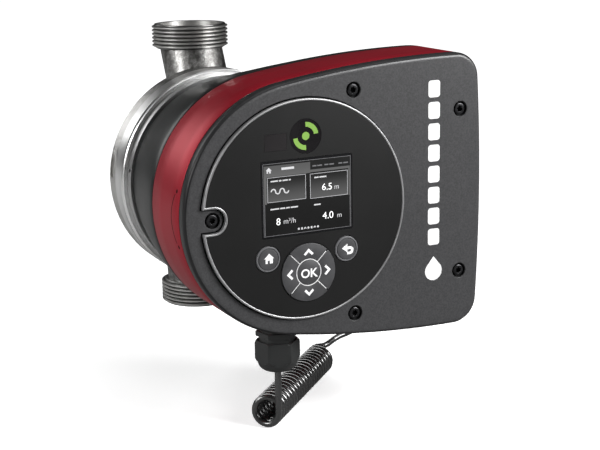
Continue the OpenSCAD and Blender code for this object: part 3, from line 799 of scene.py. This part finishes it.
class PUMP_OT_metalwork(PieceOperator, bpy.types.Operator):
    """Finishes the cast housing, the clamp, the motor shell and the sensor"""

    bl_idname = "pump.metalwork"
    bl_label = "Housing, clamp and motor"

    def build(self):
        paint("pump_housing", material=cast_stainless())
        paint("clamp_ring", material=brushed("rolled clamp strip", tint("bright"), (0.24, 0.32)))
        paint("stator_housing", material=brushed("motor shell", tint("motor"), (0.30, 0.38)))
        paint("clamp_screw", material=brushed("clamp screw steel", shade(0.8, tint("bright")), (0.25, 0.35)))
        paint("sensor_body", material=brushed("sensor steel", tint("steel"), (0.24, 0.32), around_y=False))
        moulding = finish(
            "sensor moulding", tint("gland"), rough=(0.38, 0.48), fine=1800, broad=70, bump=0.12, depth=0.00008
        )
        paint("sensor_cap", material=moulding)


class PUMP_OT_inner_parts(PieceOperator, bpy.types.Operator):
    """Finishes the wet end, the motor and the boards inside"""

    bl_idname = "pump.inner_parts"
    bl_label = "Inner parts"

    def build(self):
        sheet = brushed("pressed stainless", shade(1.05, tint("steel")), (0.2, 0.3))
        paint("wear_ring", "bearing_plate", "thrust_collar", "rotor_core", "impeller", "rotor_can", material=sheet)
        ceramic = finish(
            "bearing ceramic", (0.13, 0.13, 0.14, 1), rough=(0.2, 0.3), fine=2600, broad=90, bump=0.04, coat=0.3
        )
        paint("front_bearing", "thrust_plate", "rear_bearing", "shaft", material=ceramic)
        rubber = finish(
            "seal rubber", (0.022, 0.022, 0.022, 1), rough=(0.7, 0.8), fine=1600, broad=60, bump=0.15, specular=0.3
        )
        paint("housing_oring", "cover_gasket", "gland_seal", material=rubber)
        stack = finish(
            "lamination stack", (0.28, 0.28, 0.3, 1), rough=(0.4, 0.5), metallic=0.9, fine=1500, broad=60, bump=0.5,
            depth=0.00012, stretch=(0.02, 1, 0.02),
        )
        paint("stator_core", material=stack)
        copper = finish(
            "wound copper", (0.62, 0.25, 0.08, 1), rough=(0.28, 0.4), metallic=0.9, fine=900, broad=120, bump=0.6,
            depth=0.0003, patch=(0.7, 1.1), coat=0.4,
        )
        paint("stator_windings", "line_choke", material=copper)
        paint("heat_sink", material=brushed("heat sink", tint("motor"), (0.34, 0.44)))
        board = finish(
            "circuit board", (0.012, 0.10, 0.045, 1), rough=(0.3, 0.4), fine=500, broad=260, bump=0.25, coat=0.35,
            patch=(0.75, 1.25),
        )
        paint("power_board", "panel_board", material=board)
        sleeve = finish("capacitor sleeve", (0.02, 0.03, 0.075, 1), rough=(0.25, 0.35), fine=700, bump=0.05, coat=0.3)
        paint("power_capacitors", material=sleeve)
        block = finish("terminal moulding", (0.03, 0.16, 0.07, 1), rough=(0.4, 0.5), fine=1500, bump=0.1)
        paint("terminal_block", material=block)
        silicone = finish("silicone mat", (0.09, 0.09, 0.09, 1), rough=(0.6, 0.7), fine=1400, bump=0.12)
        paint("key_mat", material=silicone)
        carrier = finish("panel carrier", (0.015, 0.015, 0.015, 1), rough=(0.5, 0.6), fine=1600, bump=0.12)
        paint("panel_frame", "gland_locknut", material=carrier)
        paint(
            "display_module",
            material=finish("display glass", (0.012, 0.013, 0.015, 1), rough=(0.08, 0.14), bump=0.01, dust=0.0),
        )


class PUMP_OT_rear_cover(PieceOperator, bpy.types.Operator):
    """Lofts the black rear cover from the round motor to the D-shaped box"""

    bl_idname = "pump.rear_cover"
    bl_label = "Rear cover"

    def build(self):
        wall, seam = size("wall"), size("seam")
        outer = [round_ring(60.5, REAR_Y), round_ring(61.0, REAR_Y - 0.5)]
        near, far = round_ring(61.0, REAR_Y - 0.5), box_ring(0.6, FULL_OUTLINE_Y)
        for share in (0.25, 0.5, 0.75):
            swell = 0.5 * math.sin(math.pi * share)
            ring = []
            for (_, _, a), p, q in zip(outline_steps(), near, far):
                ring.append(p.lerp(q, share) + Vector((math.cos(a), 0, math.sin(a))) * swell * MM)
            outer.append(ring)
        outer += [far, box_ring(0.15, -108), box_ring(0.0, BACK_Y + 0.65), box_ring(0.15, BACK_Y + 0.38)]
        outer += [box_ring(seam, BACK_Y + 0.3), box_ring(seam, BACK_Y + 0.02)]
        inner = [box_ring(wall, BACK_Y + 0.02), box_ring(0.6 + wall, FULL_OUTLINE_Y), round_ring(58.4, REAR_Y - 2.6)]
        inner.append(round_ring(57.6, REAR_Y))
        points, faces = loft(outer + inner, closed=True)
        black = finish(
            "rear cover black", tint("rear"), rough=(0.31, 0.35), fine=1900, broad=30, bump=0.10, depth=0.00008,
            dust=0.02, specular=0.35,
        )
        settle(make_piece("rear_cover_skin", points, faces, [black]), BODY, "rear_cover_black", "rear_cover")


class PUMP_OT_middle_shell(PieceOperator, bpy.types.Operator):
    """Makes the red middle shell with its screw posts and gland boss"""

    bl_idname = "pump.middle_shell"
    bl_label = "Red middle shell"

    def build(self):
        wall, seam = size("wall"), size("seam")
        rings = [
            box_ring(seam, BACK_Y - 0.05), box_ring(seam, BACK_Y - 0.15), box_ring(0.15, BACK_Y - 0.2),
            box_ring(0.0, BACK_Y - 0.45), box_ring(0.0, BACK_Y - 14), box_ring(0.0, BACK_Y - 27),
            box_ring(0.0, SHELL_FRONT_Y + 0.6), box_ring(0.15, SHELL_FRONT_Y + 0.35),
            box_ring(seam, SHELL_FRONT_Y + 0.28), box_ring(seam, SHELL_FRONT_Y + 0.05),
            box_ring(wall + 2.8, SHELL_FRONT_Y + 0.05), box_ring(wall + 2.8, SHELL_FRONT_Y + 3),
            box_ring(wall, SHELL_FRONT_Y + 3.2), box_ring(wall, BACK_Y - 0.05),
        ]
        parts = [(0, loft(rings, closed=True))]
        for place in SCREW_PLACES:
            back, front = SHELL_FRONT_Y + 17, SHELL_FRONT_Y + 0.2
            parts.append((0, turned(place, [(2.3, back), (5, back), (5, front), (2.3, front)], 40, closed=True)))
        boss = [
            [Vector((x, y, z)) * MM for x, y in circle((NUT_X, NUT_Y), r, 48)]
            for r, z in ((8.2, 22.8), (11.8, 22.8), (11.8, 26.2), (8.2, 26.2))
        ]
        parts.append((0, loft(boss, closed=True)))
        points, faces, _ = merge(parts)
        settle(make_piece("middle_shell_skin", points, faces, [red_coat()]), BODY, "shell_red", "middle_shell")


class PUMP_OT_front_cover(PieceOperator, bpy.types.Operator):
    """Makes the grey front cover with its rounded edge, screw recesses and panel opening"""

    bl_idname = "pump.front_cover"
    bl_label = "Front cover"

    def build(self):
        seam, fillet = size("seam"), size("fillet")
        rings = [
            box_ring(seam, SHELL_FRONT_Y - 0.05), box_ring(seam, SHELL_FRONT_Y - 0.2),
            box_ring(0.15, SHELL_FRONT_Y - 0.28), box_ring(0.0, SHELL_FRONT_Y - 0.55),
        ]
        for i in range(13):
            a = math.pi / 2 * i / 12
            rings.append(box_ring(fillet * (1 - math.cos(a)), FACE_Y + fillet * (1 - math.sin(a))))
        rings.append(box_ring(fillet + 0.8, FACE_Y))
        cavity = [box_ring(5.6, SHELL_FRONT_Y - 0.1), box_ring(5.6, FACE_Y + 2.6)]
        points, faces = loft(rings)
        grain = finish(
            "textured grey", tint("face"), rough=(0.32, 0.37), fine=1600, broad=1200, bump=0.6, depth=0.00012,
            patch=(0.78, 1.22), dust=0.02, specular=0.42,
        )
        cover = make_piece("front_cover_skin", points, faces, [grain])
        hollow = make_piece("hollow", *loft([[p + Vector((0, 0.004, 0)) for p in cavity[0]], *cavity]))
        tools = [hollow]
        for place in SCREW_PLACES:
            tools.append(
                make_piece(
                    "recess",
                    *turned(
                        place,
                        [(4.75, FACE_Y - 1), (4.75, FACE_Y - 0.02), (4.4, FACE_Y + 0.3), (4.4, FACE_Y + 2.4),
                         (2.4, FACE_Y + 2.45), (2.4, FACE_Y + 9)],
                        64,
                    ),
                )
            )
        opening = [(-1.05, FACE_Y - 1), (-1.05, FACE_Y - 0.01), (-0.62, FACE_Y + 0.38), (-0.62, FACE_Y + 5)]
        tools.append(make_piece("opening", *loft(panel_rings(opening))))
        cut(cover, tools)
        # Painted shade: the side, the fillet and the walls of the screw recesses and the panel opening get a darker
        # copy of the face colour.
        edge = finish(
            "cover edge", shade(0.4, tint("face")), rough=(0.30, 0.34), fine=1900, broad=60, bump=0.1, depth=0.00008,
            dust=0.02, specular=0.15,
        )
        cover.data.materials.append(edge)
        for face in cover.data.polygons:
            if face.center.y > (FACE_Y + 0.3) * MM:
                face.material_index = 1
        settle(cover, BODY, "cover_grey", "front_cover")
        posts = []
        for place in SCREW_PLACES:
            back = SHELL_FRONT_Y - 0.1
            profile = [(2.4, back), (5.3, back), (5.3, FACE_Y + 2.5), (2.4, FACE_Y + 2.5)]
            posts.append((0, turned(place, profile, 40, closed=True)))
        points, faces, _ = merge(posts)
        settle(make_piece("front_cover_posts", points, faces, [grain]), BODY, "cover_grey")


class PUMP_OT_cover_screws(PieceOperator, bpy.types.Operator):
    """Sets one six-lobed screw at each recess, each turned its own way"""

    bl_idname = "pump.cover_screws"
    bl_label = "Cover screws"

    def screw_mesh(self):
        head, count, deep = size("screw_radius"), 72, 1.9

        def ring(radius, y, lobes=0.0):
            return [
                Vector(
                    (
                        radius * (1 + lobes * math.cos(6 * a)) * math.cos(a),
                        y,
                        radius * (1 + lobes * math.cos(6 * a)) * math.sin(a),
                    )
                )
                * MM
                for a in angles(count)
            ]

        rings = [ring(0.3, 0.65), ring(1.45, 0.6, 0.13), ring(1.6, -deep + 1.0, 0.13), ring(1.6, -deep + 0.12, 0.13)]
        rings += [ring(1.75, -deep + 0.02, 0.13), ring(head - 0.75, -deep), ring(head - 0.4, -deep + 0.08)]
        rings += [ring(head - 0.12, -deep + 0.3), ring(head, -deep + 0.75), ring(head, -0.05), ring(2.1, 0)]
        rings += [ring(2.1, 15.2), ring(1.4, 15.9)]
        points, faces = loft(rings)
        return make_piece("screw_pattern", points, faces, [], sharp=28)

    def build(self):
        black = finish(
            "black screw coat", (0.028, 0.028, 0.03, 1), rough=(0.26, 0.36), metallic=0.7, fine=1500, broad=300,
            bump=0.08, depth=0.00005, patch=(0.7, 1.3),
        )
        pattern = self.screw_mesh()
        tree = bpy.data.node_groups.new("screws at places", "GeometryNodeTree")
        sockets = {
            label: tree.interface.new_socket(label, in_out="INPUT", socket_type="NodeSocket" + kind).identifier
            for label, kind in (("Geometry", "Geometry"), ("Screw", "Object"), ("Seed", "Int"), ("Finish", "Material"))
        }
        tree.interface.new_socket("Geometry", in_out="OUTPUT", socket_type="NodeSocketGeometry")
        given = node(tree, "NodeGroupInput").outputs
        one = node(tree, "GeometryNodeObjectInfo", {"Object": given["Screw"]})
        turn = node(
            tree, "FunctionNodeRandomValue", {0: (0, 0, 0), 1: (0, math.pi, 0), "Seed": given["Seed"]},
            data_type="FLOAT_VECTOR",
        )
        placed = node(
            tree, "GeometryNodeInstanceOnPoints",
            {"Points": given["Geometry"], "Instance": one.outputs["Geometry"], "Rotation": turn.outputs[0]},
        )
        real = node(tree, "GeometryNodeRealizeInstances", {0: placed.outputs[0]})
        painted = node(tree, "GeometryNodeSetMaterial", {"Geometry": real.outputs[0], "Material": given["Finish"]})
        node(tree, "NodeGroupOutput", {0: painted.outputs[0]})

        mesh = bpy.data.meshes.new("cover_screw_places")
        mesh.from_pydata([tuple(at(x, FACE_Y + 2.4, z)) for x, z in SCREW_PLACES], [], [])
        screws = add_object("cover_screw_set", mesh)
        modifier = screws.modifiers.new("screws", "NODES")
        modifier.node_group = tree
        modifier[sockets["Screw"]] = pattern
        modifier[sockets["Seed"]] = bpy.context.scene.pump_sizes.screw_seed
        modifier[sockets["Finish"]] = black
        flat = evaluated_mesh(screws)
        screws.modifiers.clear()
        screws.data = flat
        bpy.data.objects.remove(pattern)
        if len(flat.polygons) == 0:
            raise RuntimeError("the screws came out empty")
        if not flat.materials:
            flat.materials.append(black)
        settle(screws, BODY, "screw_black", "cover_screws")


class PUMP_OT_panel(PieceOperator, bpy.types.Operator):
    """Makes the gloss panel's finish and its bright notched rim"""

    bl_idname = "pump.panel"
    bl_label = "Panel and rim"

    def build(self):
        gloss = finish(
            "panel gloss", tint("panel"), rough=(0.38, 0.42), fine=1200, broad=20, bump=0.012, depth=0.00003,
            dust=0.0, specular=0.42,
        )
        paint("panel_disc", material=gloss)
        dark_red = finish("infrared window", (0.010, 0.008, 0.009, 1), rough=(0.30, 0.34), bump=0.01, dust=0.0)
        paint("infrared_window", material=dark_red)
        silver = finish(
            "rim silver", tint("rim"), rough=(0.38, 0.45), metallic=0.7, fine=2600, broad=60, bump=0.04,
            depth=0.00004, dust=0.02,
        )
        rounding = [
            (0.0, FACE_Y + 0.1), (0.0, PANEL_Y + 0.35), (0.06, PANEL_Y + 0.08), (0.25, PANEL_Y - 0.1),
            (0.5, PANEL_Y - 0.18), (0.8, PANEL_Y - 0.18), (1.05, PANEL_Y - 0.1), (1.24, PANEL_Y + 0.05),
            (1.3, PANEL_Y + 0.3), (1.32, FACE_Y + 0.1),
        ]
        points, faces = loft(panel_rings(rounding), closed=True)
        settle(make_piece("panel_bezel", points, faces, [silver], sharp=50), BODY, "rim_grey", "panel_rim")


def rect(x0, z0, x1, z1):
    return [(x0, z0), (x1, z0), (x1, z1), (x0, z1)]


def frame_rects(x0, z0, x1, z1, width):
    """Four bars that make a thin frame."""
    return [
        rect(x0, z1 - width, x1, z1),
        rect(x0, z0, x1, z0 + width),
        rect(x0, z0 + width, x0 + width, z1 - width),
        rect(x1 - width, z0 + width, x1, z1 - width),
    ]


def chevron(x, z, reach, thick, turn):
    """An arrow head without a shaft whose tip points along turn, in degrees."""
    apex, step, slip = reach / 2, thick * 0.707, thick * 0.354
    shape = [(apex + step, 0), (apex - reach + slip, reach + slip), (apex - reach - slip, reach - slip)]
    shape += [(apex - step, 0), (apex - reach - slip, slip - reach), (apex - reach + slip, -reach - slip)]
    return spun(shape, turn, x, z)


def house(x, z, half):
    """A small house: roof, walls and a doorway left open."""
    roof = [(-1.0, 0.05), (0, 1.0), (1.0, 0.05), (0.72, 0.05), (0.72, -0.85), (0.12, -0.85), (0.12, -0.3)]
    roof += [(-0.28, -0.3), (-0.28, -0.85), (-0.72, -0.85), (-0.72, 0.05)]
    return [(x + px * half, z + pz * half) for px, pz in roof[::-1]]


def arc_band(x, z, inner, outer, low, high, steps=16):
    turns = [math.radians(low + (high - low) * i / steps) for i in range(steps + 1)]
    return on_circle((x, z), outer, turns) + on_circle((x, z), inner, turns[::-1])


def plates(name, shapes, y, thick, materials, body, slot, *nodes):
    """Thin printed shapes in one piece: shapes are (outline, level, material number)."""
    parts = []
    for outline, level, number in shapes:
        front = y - level * 0.012
        parts.append((number, slab(outline, y + thick, front)))
    points, faces, indices = merge(parts)
    piece = make_piece(name, points, faces, materials, indices)
    return settle(piece, body, slot, *nodes)


def figures(name, words, y, material, body, slot, thick=0.02, bold=0.0):
    """Numbers and units as flat lettering made into one mesh: words are (text, x, z, height), read from the front."""
    made = bpy.data.meshes.new(name)
    work = bmesh.new()
    for text, x, z, height in words:
        data = bpy.data.curves.new(name, "FONT")
        data.body, data.size, data.extrude, data.resolution_u = text, height * 1.37 * MM, thick / 2 * MM, 4
        data.align_x = "CENTER"
        data.offset = bold * MM
        lettering = add_object(name, data)
        flat = evaluated_mesh(lettering)
        bpy.data.objects.remove(lettering)
        flat.transform(Matrix.Translation(at(x, y, z - height / 2)) @ Matrix.Rotation(math.pi / 2, 4, "X"))
        work.from_mesh(flat)
        bpy.data.meshes.remove(flat)
    work.to_mesh(made)
    work.free()
    made.materials.clear()
    made.materials.append(material)
    made.polygons.foreach_set("material_index", [0] * len(made.polygons))
    tidy_mesh(made)
    return settle(add_object(name, made), body, slot)


class PUMP_OT_screen(PieceOperator, bpy.types.Operator):
    """Draws the lit screen: tabs, framed fields, figures and a row of small signs"""

    bl_idname = "pump.screen"
    bl_label = "Screen"

    def build(self):
        sx, sz = SCREEN
        glass = finish(
            "screen glass", (0.006, 0.006, 0.007, 1), rough=(0.26, 0.30), bump=0.01, dust=0.0, specular=0.28
        )
        paint("screen_lens", material=glass)
        base = screen_fill("screen field", sz - 20, sz + 12, 0.006, 0.002)
        upper = screen_fill("screen upper field", sz - 2, sz + 12.5, 0.008, 0.10)
        tab = screen_fill("screen tab", sz + 11, sz + 19, 0.10, 0.135)
        line = glow("screen line", (0.11, 0.11, 0.115, 1), 0.7)
        bright = glow("screen frame", (0.30, 0.30, 0.31, 1), 0.8)
        word = glow("screen words", (0.42, 0.42, 0.43, 1), 0.7)
        materials = [base, upper, tab, line, bright, word]
        shapes = [(rect(-26.2, -19.8, 26.4, 19.6), 1, 0)]
        shapes += [(shape, 2, 3) for shape in frame_rects(-26.5, -20.0, 26.7, 19.8, 0.24)]
        shapes += [(rect(-25.9, 12.6, 1.9, 18.6), 2, 2), (rect(1.9, 12.9, 26.2, 14.3), 2, 2)]
        shapes += [(rect(-25.9, -2.2, -24.4, 12.6), 2, 2), (rect(25.3, -2.2, 26.2, 12.9), 2, 2)]
        shapes += [(rect(-23.9, -1.2, -1.0, 12.2), 2, 1), (rect(1.8, -1.7, 24.7, 11.9), 2, 1)]
        shapes += [(shape, 3, 4) for shape in frame_rects(-24.0, -1.4, -0.9, 12.3, 0.27)]
        shapes += [(shape, 3, 4) for shape in frame_rects(1.7, -1.8, 24.8, 12.0, 0.27)]
        shapes += [(shape, 2, 3) for shape in (rect(-25.9, -19.5, -25.6, -2.2), rect(26.0, -19.5, 26.2, -2.2))]

        def bars(x, z, widths, height, number=5):
            """A line of print too small to read, as a run of short bars."""
            for width in widths:
                shapes.append((rect(x, z - height / 2, x + width, z + height / 2), 4, number))
                x += width + 0.55

        bars(-22.0, 10.1, (4.4, 1.6, 3.2, 1.2), 0.75)
        bars(4.3, 9.7, (2.6, 4.2), 0.75)
        bars(-22.4, -5.2, (5.2, 3.1, 2.2, 4.4), 0.75)
        bars(3.9, -5.4, (4.0,), 0.75)
        bars(-15.4, 16.5, (7.6,), 1.3)
        for x in (3.3, 10.6, 19.2):
            bars(x, 16.2, (2.4, 2.9), 0.7, 3)
        shapes.append((house(-22.9, 16.1, 1.7), 4, 5))
        for i in range(7):
            a = -5.6 + i * 1.95
            dot, block = circle((a, -17.7), 0.62, 12), rect(a - 0.5, -18.3, a + 0.5, -17.1)
            shapes.append(((dot, block, chevron(a, -17.7, 0.65, 0.5, 90))[i % 3], 4, 5))
        for i in range(4):
            start = 180 * (i % 2)
            shapes.append((arc_band(-20.4 + i * 2.6, 4.4, 0.95, 1.65, start, start + 180), 4, 5))
        moved = [([(x + sx, z + sz) for x, z in outline], level, number) for outline, level, number in shapes]
        plates("screen_picture", moved, PANEL_Y, 0.005, materials, BODY, "lens_glass")
        words = [
            ("6.5", sx + 12.0, sz + 4.1, 3.9), ("8", sx - 17.8, sz - 12.2, 4.0), ("4.0", sx + 12.4, sz - 11.9, 4.1),
        ]
        units = [("m", sx + 17.9, sz + 3.6, 2.9), ("m³/h", sx - 11.0, sz - 12.4, 3.0), ("m", sx + 19.5, sz - 12.5, 2.9)]
        white = glow("screen white", (0.8, 0.8, 0.8, 1), 0.75)
        figures("screen_figures", words, PANEL_Y - 0.06, white, BODY, "lens_glass")
        grey = glow("screen grey", (0.4, 0.4, 0.41, 1), 0.7)
        figures("screen_units", units, PANEL_Y - 0.06, grey, BODY, "lens_glass")


class PUMP_OT_status_light(PieceOperator, bpy.types.Operator):
    """Lights the green dot and its two arcs in a dark round lens"""

    bl_idname = "pump.status_light"
    bl_label = "Status light"

    def build(self):
        halo = finish(
            "status lens", (0.006, 0.005, 0.006, 1), rough=(0.24, 0.30), bump=0.02, dust=0.0, specular=0.35
        )
        paint("status_lens", material=halo)
        paint("status_lights", material=glow("status green", tint("light"), 0.55, rough=0.3))


class PUMP_OT_keys(PieceOperator, bpy.types.Operator):
    """Makes the two round keys, the four arrow keys and the centre key with their signs"""

    bl_idname = "pump.keys"
    bl_label = "Keys"

    def build(self):
        cap = finish(
            "key cap", tint("key"), rough=(0.42, 0.52), fine=1700, broad=140, bump=0.35, depth=0.0001,
            patch=(0.85, 1.15), dust=0.0,
        )
        # Painted highlight: the rounded rim and groove of each round key get a lighter copy of the cap colour.
        ring = finish("key ring", shade(2.4, tint("key")), rough=(0.38, 0.46), fine=1700, bump=0.1, dust=0.0)
        # Painted light: the white signs and pad lines get a faint glow of their own, though the keys give no light.
        white = glow("key print", tint("ink"), 0.18, rough=0.5)
        top = KEY_Y + 0.08
        r = size("key_radius")
        for name, place in ROUND_KEYS.items():
            body = name + "_cap"
            skirt = [(0.01, SKIRT_BACK_Y), (r + 1.2, SKIRT_BACK_Y), (r + 1.2, SKIRT_FRONT_Y), (r, SKIRT_FRONT_Y)]
            rounding = [(r, top + 0.75), (r - 0.1, top + 0.35), (r - 0.4, top + 0.08), (r - 0.8, top + 0.02)]
            groove = [(r - 1.0, top + 0.08), (r - 1.12, top + 0.3), (r - 1.3, top + 0.3), (r - 1.45, top + 0.06)]
            dish = [(r - 1.7, top + 0.0), (r - 4.0, top), (0.01, top)]
            points, faces = turned(place, skirt + rounding + groove + dish, 72)
            piece = make_piece(name + "_top", points, faces, [cap, ring])
            centre = at(place[0], 0, place[1])
            # Faces out on the rim and groove take the painted highlight.
            for face in piece.data.polygons:
                off = face.center - centre
                if math.hypot(off.x, off.z) > (r - 1.05) * MM:
                    face.material_index = 1
            settle(piece, body, "key_grey", name)
            x, z = place
            if name == "key_home":
                signs = [house(x + 0.4, z + 0.3, 3.0)]
            else:
                tip = [(x - 3.1, z + 0.5), (x + 0.4, z - 2.0), (x + 0.4, z + 3.0)]
                signs = [tip, rect(x + 0.2, z - 0.35, x + 1.9, z + 1.35)]
                signs.append(arc_band(x + 1.9, z - 0.95, 0.75, 2.3, -100, 90))
                signs.append(rect(x + 0.2, z - 3.25, x + 1.7, z - 1.75))
            plates(name + "_sign", [(s, 1, 0) for s in signs], top, 0.05, [white], body, "key_grey")

        px, pz = PAD
        disc = [(0.01, CAP_BACK_Y), (7.2, CAP_BACK_Y), (7.2, top + 0.3), (7.1, top + 0.1), (6.9, top), (0.01, top)]
        points, faces = turned(PAD, disc, 64)
        settle(make_piece("key_ok_top", points, faces, [cap]), "key_ok_cap", "key_grey", "key_ok")
        word = [("OK", px + 0.1, pz - 0.3, 5.0)]
        figures("key_ok_sign", word, top - 0.01, white, "key_ok_cap", "key_grey", thick=0.08, bold=0.16)
        for name, turn in ARROW_KEYS.items():
            outer, inner, gap = size("pad_radius"), 7.7, 0.283
            low, high = 45 - math.degrees(math.asin(gap / outer)), 45 - math.degrees(math.asin(gap / inner))
            outline = arc_band(0, 0, inner, outer, -low, low, 30)[:31]
            outline += on_circle((0, 0), inner, [math.radians(high - 2 * high * i / 16) for i in range(17)])
            points, faces = slab(spun(outline, turn, px, pz), CAP_BACK_Y, top, bevel=0.22)
            settle(make_piece(name + "_top", points, faces, [cap]), name + "_cap", "key_grey", name)
            tip_x, tip_z = spun([(11.3, 0)], turn, px, pz)[0]
            sign = chevron(tip_x, tip_z, 2.5, 1.35, turn)
            plates(name + "_sign", [(sign, 1, 0)], top, 0.05, [white], name + "_cap", "key_grey")
        lines = []
        for turn in (45, 135, 225, 315):
            bar = spun(rect(7.55, -0.15, 15.2, 0.15), turn, px, pz)
            lines.append((0, slab(bar, top + 1.4, top + 0.01)))
        ring_profile = [(7.28, top + 1.4), (7.28, top + 0.01), (7.62, top + 0.01), (7.62, top + 1.4)]
        lines.append((0, turned(PAD, ring_profile, 72, closed=True)))
        points, faces, _ = merge(lines)
        settle(make_piece("pad_lines", points, faces, [white]), BODY, "key_grey")


class PUMP_OT_face_print(PieceOperator, bpy.types.Operator):
    """Prints a plain upright band of blocks and a drop at the right of the face"""

    bl_idname = "pump.face_print"
    bl_label = "Face print"

    def build(self):
        # Painted light: the white print is given a faint glow of its own, though the face gives no light.
        ink = glow("face ink", tint("ink"), 0.06, rough=0.5)
        shapes = []
        for i in range(8):
            top = 65 - i * 12.2
            shapes.append((rounded(78.2, top - 9.6, 85.8, top, 1.7), 1, 0))
        shapes.append((water_drop(82, -45.5, 5.6), 1, 0))
        plates("face_print", shapes, FACE_Y, 0.005, [ink], BODY, "cover_grey")


def rounded(x0, z0, x1, z1, radius, steps=5):
    """A rectangle with rounded corners."""
    points = []
    left, right, low, high = x0 + radius, x1 - radius, z0 + radius, z1 - radius
    for cx, cz, start in ((right, low, -90), (right, high, 0), (left, high, 90), (left, low, 180)):
        points += on_circle((cx, cz), radius, [math.radians(start + 90 * i / steps) for i in range(steps + 1)])
    return points


def water_drop(x, z, radius):
    """A round drop that comes to a point at its top."""
    bowl = on_circle((x, z), radius, [math.radians(145 + 250 * i / 32) for i in range(33)])
    return [*bowl[::-1], (x, z + radius * 1.55)]


class PUMP_OT_gland(PieceOperator, bpy.types.Operator):
    """Makes the cable gland's chamfered cap nut and finishes its body"""

    bl_idname = "pump.gland"
    bl_label = "Cable gland"

    def build(self):
        black = finish(
            "gland moulding", tint("gland"), rough=(0.36, 0.46), fine=1700, broad=90, bump=0.12, depth=0.00008,
            dust=0.03, specular=0.45,
        )
        paint("gland_body", material=black)
        turn, hex_radius, count = math.radians(41), 13.0, 144

        def flat_to(limit, z):
            ring = []
            for a in angles(count, turn):
                within = (a - turn) % (math.pi / 3) - math.pi / 6
                side = hex_radius * math.cos(math.pi / 6) / math.cos(within)
                reach = min(side, limit)
                ring.append(Vector((NUT_X + reach * math.cos(a), NUT_Y + reach * math.sin(a), z)) * MM)
            return ring

        top, low = NUT_HIGH.z, NUT_LOW.z
        outer = [flat_to(11.6, top), flat_to(12.1, top - 0.25), flat_to(12.6, top - 0.75), flat_to(13.1, top - 1.5)]
        outer += [flat_to(13.1, 1.6), flat_to(12.7, 0.6), flat_to(12.2, -0.1), flat_to(11.5, -0.4)]
        for i in range(9):
            a = math.pi / 2 * i / 8
            outer.append(flat_to(5.5 + 6 * math.cos(a), -6 * math.sin(a) - 0.4 * (1 - math.sin(a))))
        inner = [flat_to(2.6, low), flat_to(2.4, low + 0.3), flat_to(2.4, -1.6), flat_to(6.1, -1.6), flat_to(6.1, 0.8)]
        inner += [flat_to(9.2, 0.8), flat_to(9.2, top - 1.1), flat_to(10.7, top - 1.1), flat_to(10.7, top)]
        points, faces = loft(outer + inner, closed=True)
        settle(make_piece("gland_cap", points, faces, [black], sharp=25), BODY, "gland_plastic", "gland_nut")


OPERATORS = [
    PUMP_OT_stage, PUMP_OT_lead, PUMP_OT_metalwork, PUMP_OT_inner_parts, PUMP_OT_rear_cover, PUMP_OT_middle_shell,
    PUMP_OT_front_cover, PUMP_OT_cover_screws, PUMP_OT_panel, PUMP_OT_screen, PUMP_OT_status_light, PUMP_OT_keys,
    PUMP_OT_face_print, PUMP_OT_gland,
]


class PUMP_PT_pieces(bpy.types.Panel):
    """Lists the steps that build the pump's looks"""

    bl_idname = "PUMP_PT_pieces"
    bl_label = "Circulator pump"
    bl_space_type = "VIEW_3D"
    bl_region_type = "UI"
    bl_category = "Pump"

    def draw(self, context):
        for operator in OPERATORS:
            self.layout.operator(operator.bl_idname)
        for group in (context.scene.pump_sizes, context.scene.pump_colours):
            for name in group.bl_rna.properties.keys():
                if name not in ("rna_type", "name"):
                    self.layout.prop(group, name)


CLASSES = [PumpSizes, PumpColours, *OPERATORS, PUMP_PT_pieces]


def register():
    for item in CLASSES:
        bpy.utils.register_class(item)
    bpy.types.Scene.pump_sizes = PointerProperty(type=PumpSizes)
    bpy.types.Scene.pump_colours = PointerProperty(type=PumpColours)


def unregister():
    del bpy.types.Scene.pump_sizes
    del bpy.types.Scene.pump_colours
    for item in reversed(CLASSES):
        bpy.utils.unregister_class(item)


def main():
    register()
    for operator in OPERATORS:
        area, name = operator.bl_idname.split(".")
        if getattr(getattr(bpy.ops, area), name)() != {"FINISHED"}:
            raise RuntimeError(f"{operator.bl_label} did not finish")


if __name__ == "__main__":
    main()
